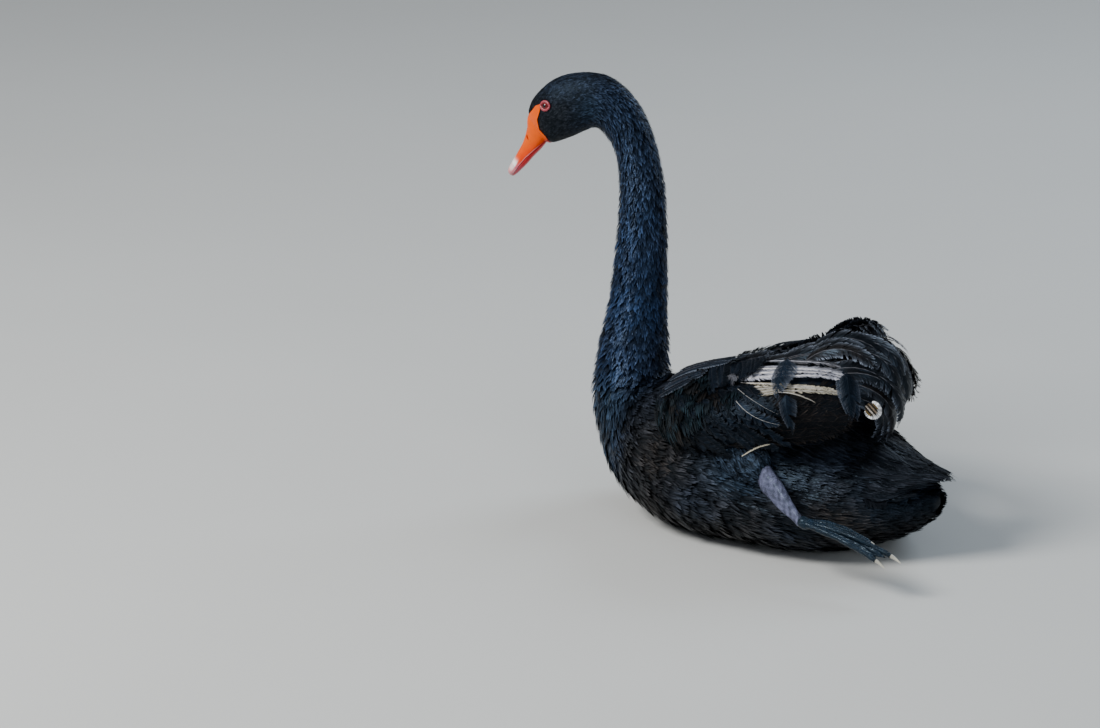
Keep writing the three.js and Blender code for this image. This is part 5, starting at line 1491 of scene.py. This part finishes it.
for side, sign in (("left", -1), ("right", 1)):
    hock = np.array(HOCKS[side], float)

    def at_hock(points, sign=sign, hock=hock):
        return (np.asarray(points) + hock) * [1, sign, 1]

    shank_rings = limb_rings(SHANK, 130, 40, form=shank_form)
    points, faces = closed_tube(shank_rings)
    s = np.concatenate([np.repeat(np.linspace(0, 1, 130), 40), [0, 1]])
    mottle = noise_tone(points, 7.0, 5)[:, None]
    round_it = np.concatenate([np.tile(np.linspace(0, 2 * math.pi, 40, endpoint=False), 130), [0, 0]])
    pale = np.exp(-((np.cos(round_it - 3.6) - 1) / 0.10) ** 2) * np.clip((s - 0.35) / 0.2, 0, 1)
    down = np.clip((s - 0.84) / 0.12, 0, 1)[:, None]
    shade = LAVENDER_SKIN * (0.45 + 0.9 * mottle + 0.9 * pale[:, None])
    shade = shade * (1 - down) + DARK_SKIN * 1.4 * down
    piece = mesh_piece("leg_shank_" + side, at_hock(points), faces, leg_paint, colours={"tint": shade})
    outward(piece)
    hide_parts("shank_" + side)
    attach(piece, "root")

    lines = {name: toe_line(end, bow, wide) for name, end, bow, wide, _ in TOES}
    parts = []
    shades = []
    for name, end, bow, wide, _ in TOES:
        toe = closed_tube(limb_rings(lines[name], 80, 20, form=lambda s, angle: 1 + 0.05 * np.sin(s * 95) * (
            np.sin(angle) < 0)))
        parts.append(toe)
        shades.append(np.tile(DARK_SKIN, (len(toe[0]), 1)) * (0.6 + 1.0 * noise_tone(toe[0], 7, 8))[:, None])
        top = lines[name][2:-2, :3] + np.array([0, 0, 1]) * (lines[name][2:-2, 4:5] * 0.88)
        plates = plates_along("plates_" + name, at_hock(top), lines[name][2:-2, 3] * 0.74, 3.1, 0.95, 9)
        plates = (at_hock(np.zeros(3)) * 0 + plates[0] * [1, sign, 1] - hock, plates[1])
        parts.append(plates)
        shades.append(np.tile(FOOT_RIDGE, (len(plates[0]), 1)) * (0.5 + noise_tone(plates[0], 9, 9))[:, None])
    hind = closed_tube(limb_rings(HIND_TOE + [*TOE_ROOT, 0, 0], 24, 16, side=(1, 0, 0)))
    parts.append(hind)
    shades.append(np.tile(DARK_SKIN * 1.3, (len(hind[0]), 1)))
    knuckle_rows = np.array([[-7.5, 0, 3.5, 1, 1], [-5, 0, 2.4, 5.6, 5.6], [0, 0, 0, 7.2, 7.4],
                             [6, 0, -1.6, 6.0, 5.4], [11, 0, -2.4, 1.0, 1.0]], float)
    knuckle = closed_tube(limb_rings(knuckle_rows + [*TOE_ROOT, 0, 0], 30, 24))
    parts.append(knuckle)
    shades.append(np.tile(DARK_SKIN * 1.6, (len(knuckle[0]), 1)))
    for other in ("outer", "inner"):
        s = np.linspace(0.02, 1, 56)
        t = np.linspace(0, 1, 28)
        cut_back = 1 - 0.10 * np.sin(math.pi * t)
        place = s[:, None] * cut_back[None, :] * 39
        near = np.stack([np.interp(place, np.arange(40), lines["middle"][:, k]) for k in range(3)], -1)
        far = np.stack([np.interp(place, np.arange(40), lines[other][:, k]) for k in range(3)], -1)
        pull = WEB_PULL * np.clip((s - 0.82) / 0.18, 0, 1)[:, None, None]
        near = near * (1 - pull) + far * pull
        sheet = near * (1 - t[None, :, None]) + far * t[None, :, None]
        pleat = 1.5 * np.sin(t * math.pi * 5)[None, :] * np.sin(math.pi * s)[:, None] ** 0.7
        crease = 0.35 * np.sin(s * 60)[:, None] * np.sin(math.pi * t)[None, :]
        sheet[..., 2] += pleat + crease - 1.2 * (np.sin(math.pi * t)[None, :] * np.sin(math.pi * s)[:, None])
        thin = WEB_THICK / 2 * (1 - 0.45 * s)[:, None]
        upper_sheet = sheet + np.stack([0 * thin, 0 * thin, thin], -1)
        lower_sheet = sheet - np.stack([0 * thin, 0 * thin, thin], -1)
        loop = np.concatenate([upper_sheet, lower_sheet[:, ::-1]], 1)
        web = closed_tube(loop)
        parts.append(web)
        # Painted highlight: the crests of the web's folds are lighter, the hollows between them keep the dark skin
        # colour.
        painted_crest_highlight = np.concatenate([np.tile(np.concatenate([np.clip(np.sin(t * math.pi * 5), 0, 1),
                                                         np.zeros(28)]), 56), [0, 0]])[:, None]
        shades.append(DARK_SKIN * (1 - painted_crest_highlight) + FOOT_RIDGE * 0.8 * painted_crest_highlight)
    points, faces = joined(parts)
    piece = mesh_piece("leg_foot_" + side, at_hock(points), faces, leg_paint, colours={"tint": np.concatenate(shades)})
    outward(piece)
    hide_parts("foot_" + side)
    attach(piece, "root")

    for name, end, bow, wide, long in TOES:
        tip = lines[name][-1, :3]
        run = tip - lines[name][-2, :3]
        run /= np.linalg.norm(run)
        s = np.linspace(-0.18, 1, 9)
        thick = wide * 0.5 * (1 - 0.82 * np.clip(s, 0, 1) ** 1.2)
        spine = tip + run * (0.6 + long * s)[:, None]
        spine[:, 2] -= 2.5 * np.clip(s, 0, 1) ** 2
        rows = np.column_stack([spine, thick, thick * 1.1])
        points, faces = closed_tube(limb_rings(rows, 26, 18))
        toward_tip = np.concatenate([np.repeat(np.linspace(0, 1, 26), 18), [0, 1]])[:, None]
        shade = np.array([0.30, 0.29, 0.25]) * (1 - toward_tip) + np.array([0.62, 0.60, 0.50]) * toward_tip
        piece = mesh_piece(f"horn_{name}_{side}", at_hock(points), faces, claw_paint, colours={"tint": shade})
        outward(piece)
        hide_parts(f"claw_{name}_{side}")
        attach(piece, "root")

    thigh_rows = THIGH.copy()
    if side == "right":
        thigh_rows[3:, 1] -= (8, 24)
    thigh_rings = limb_rings(thigh_rows, 60, 48)
    points, faces = closed_tube(thigh_rings)
    piece = mesh_piece("thigh_" + side, at_hock(points), faces, coat_paint, uv=np.clip(
        np.stack([np.arange(len(points)) // 48 / 61, np.arange(len(points)) % 48 / 48], -1), 0, 1), colours={
            "tint": markings(at_hock(points)) * 0.6, "lay": np.zeros((len(points), 3))})
    outward(piece)
    finish_coat(piece)
    thigh_face = Surface(at_hock(thigh_rings if sign > 0 else thigh_rings[:, ::-1]), wraps=True)
    if (thigh_face.normals[10, 0] @ (thigh_face.points[10, 0] - thigh_face.points[10].mean(0))) < 0:
        thigh_face = Surface(thigh_face.points[:, ::-1], wraps=True)
    roots = roots_on(thigh_face, (0.0, 0.92), (0, 1), 2.7, 31)
    # The thigh coat's tint is a lighter blue than the body's marking, as painted sheen over the thigh.
    finish_coat(lay_coat("coat_thigh_" + side, thigh_face, roots, 9 + 15 * roots[0], 2.8 + 3.4 * roots[0],
                         2.0 + 3.4 * roots[0], 5, (0.5, 0.9, 0.45), coat_paint, 32, bow=0.25, rough=1.6,
                         tint=np.array([0.0120, 0.0185, 0.0300])))
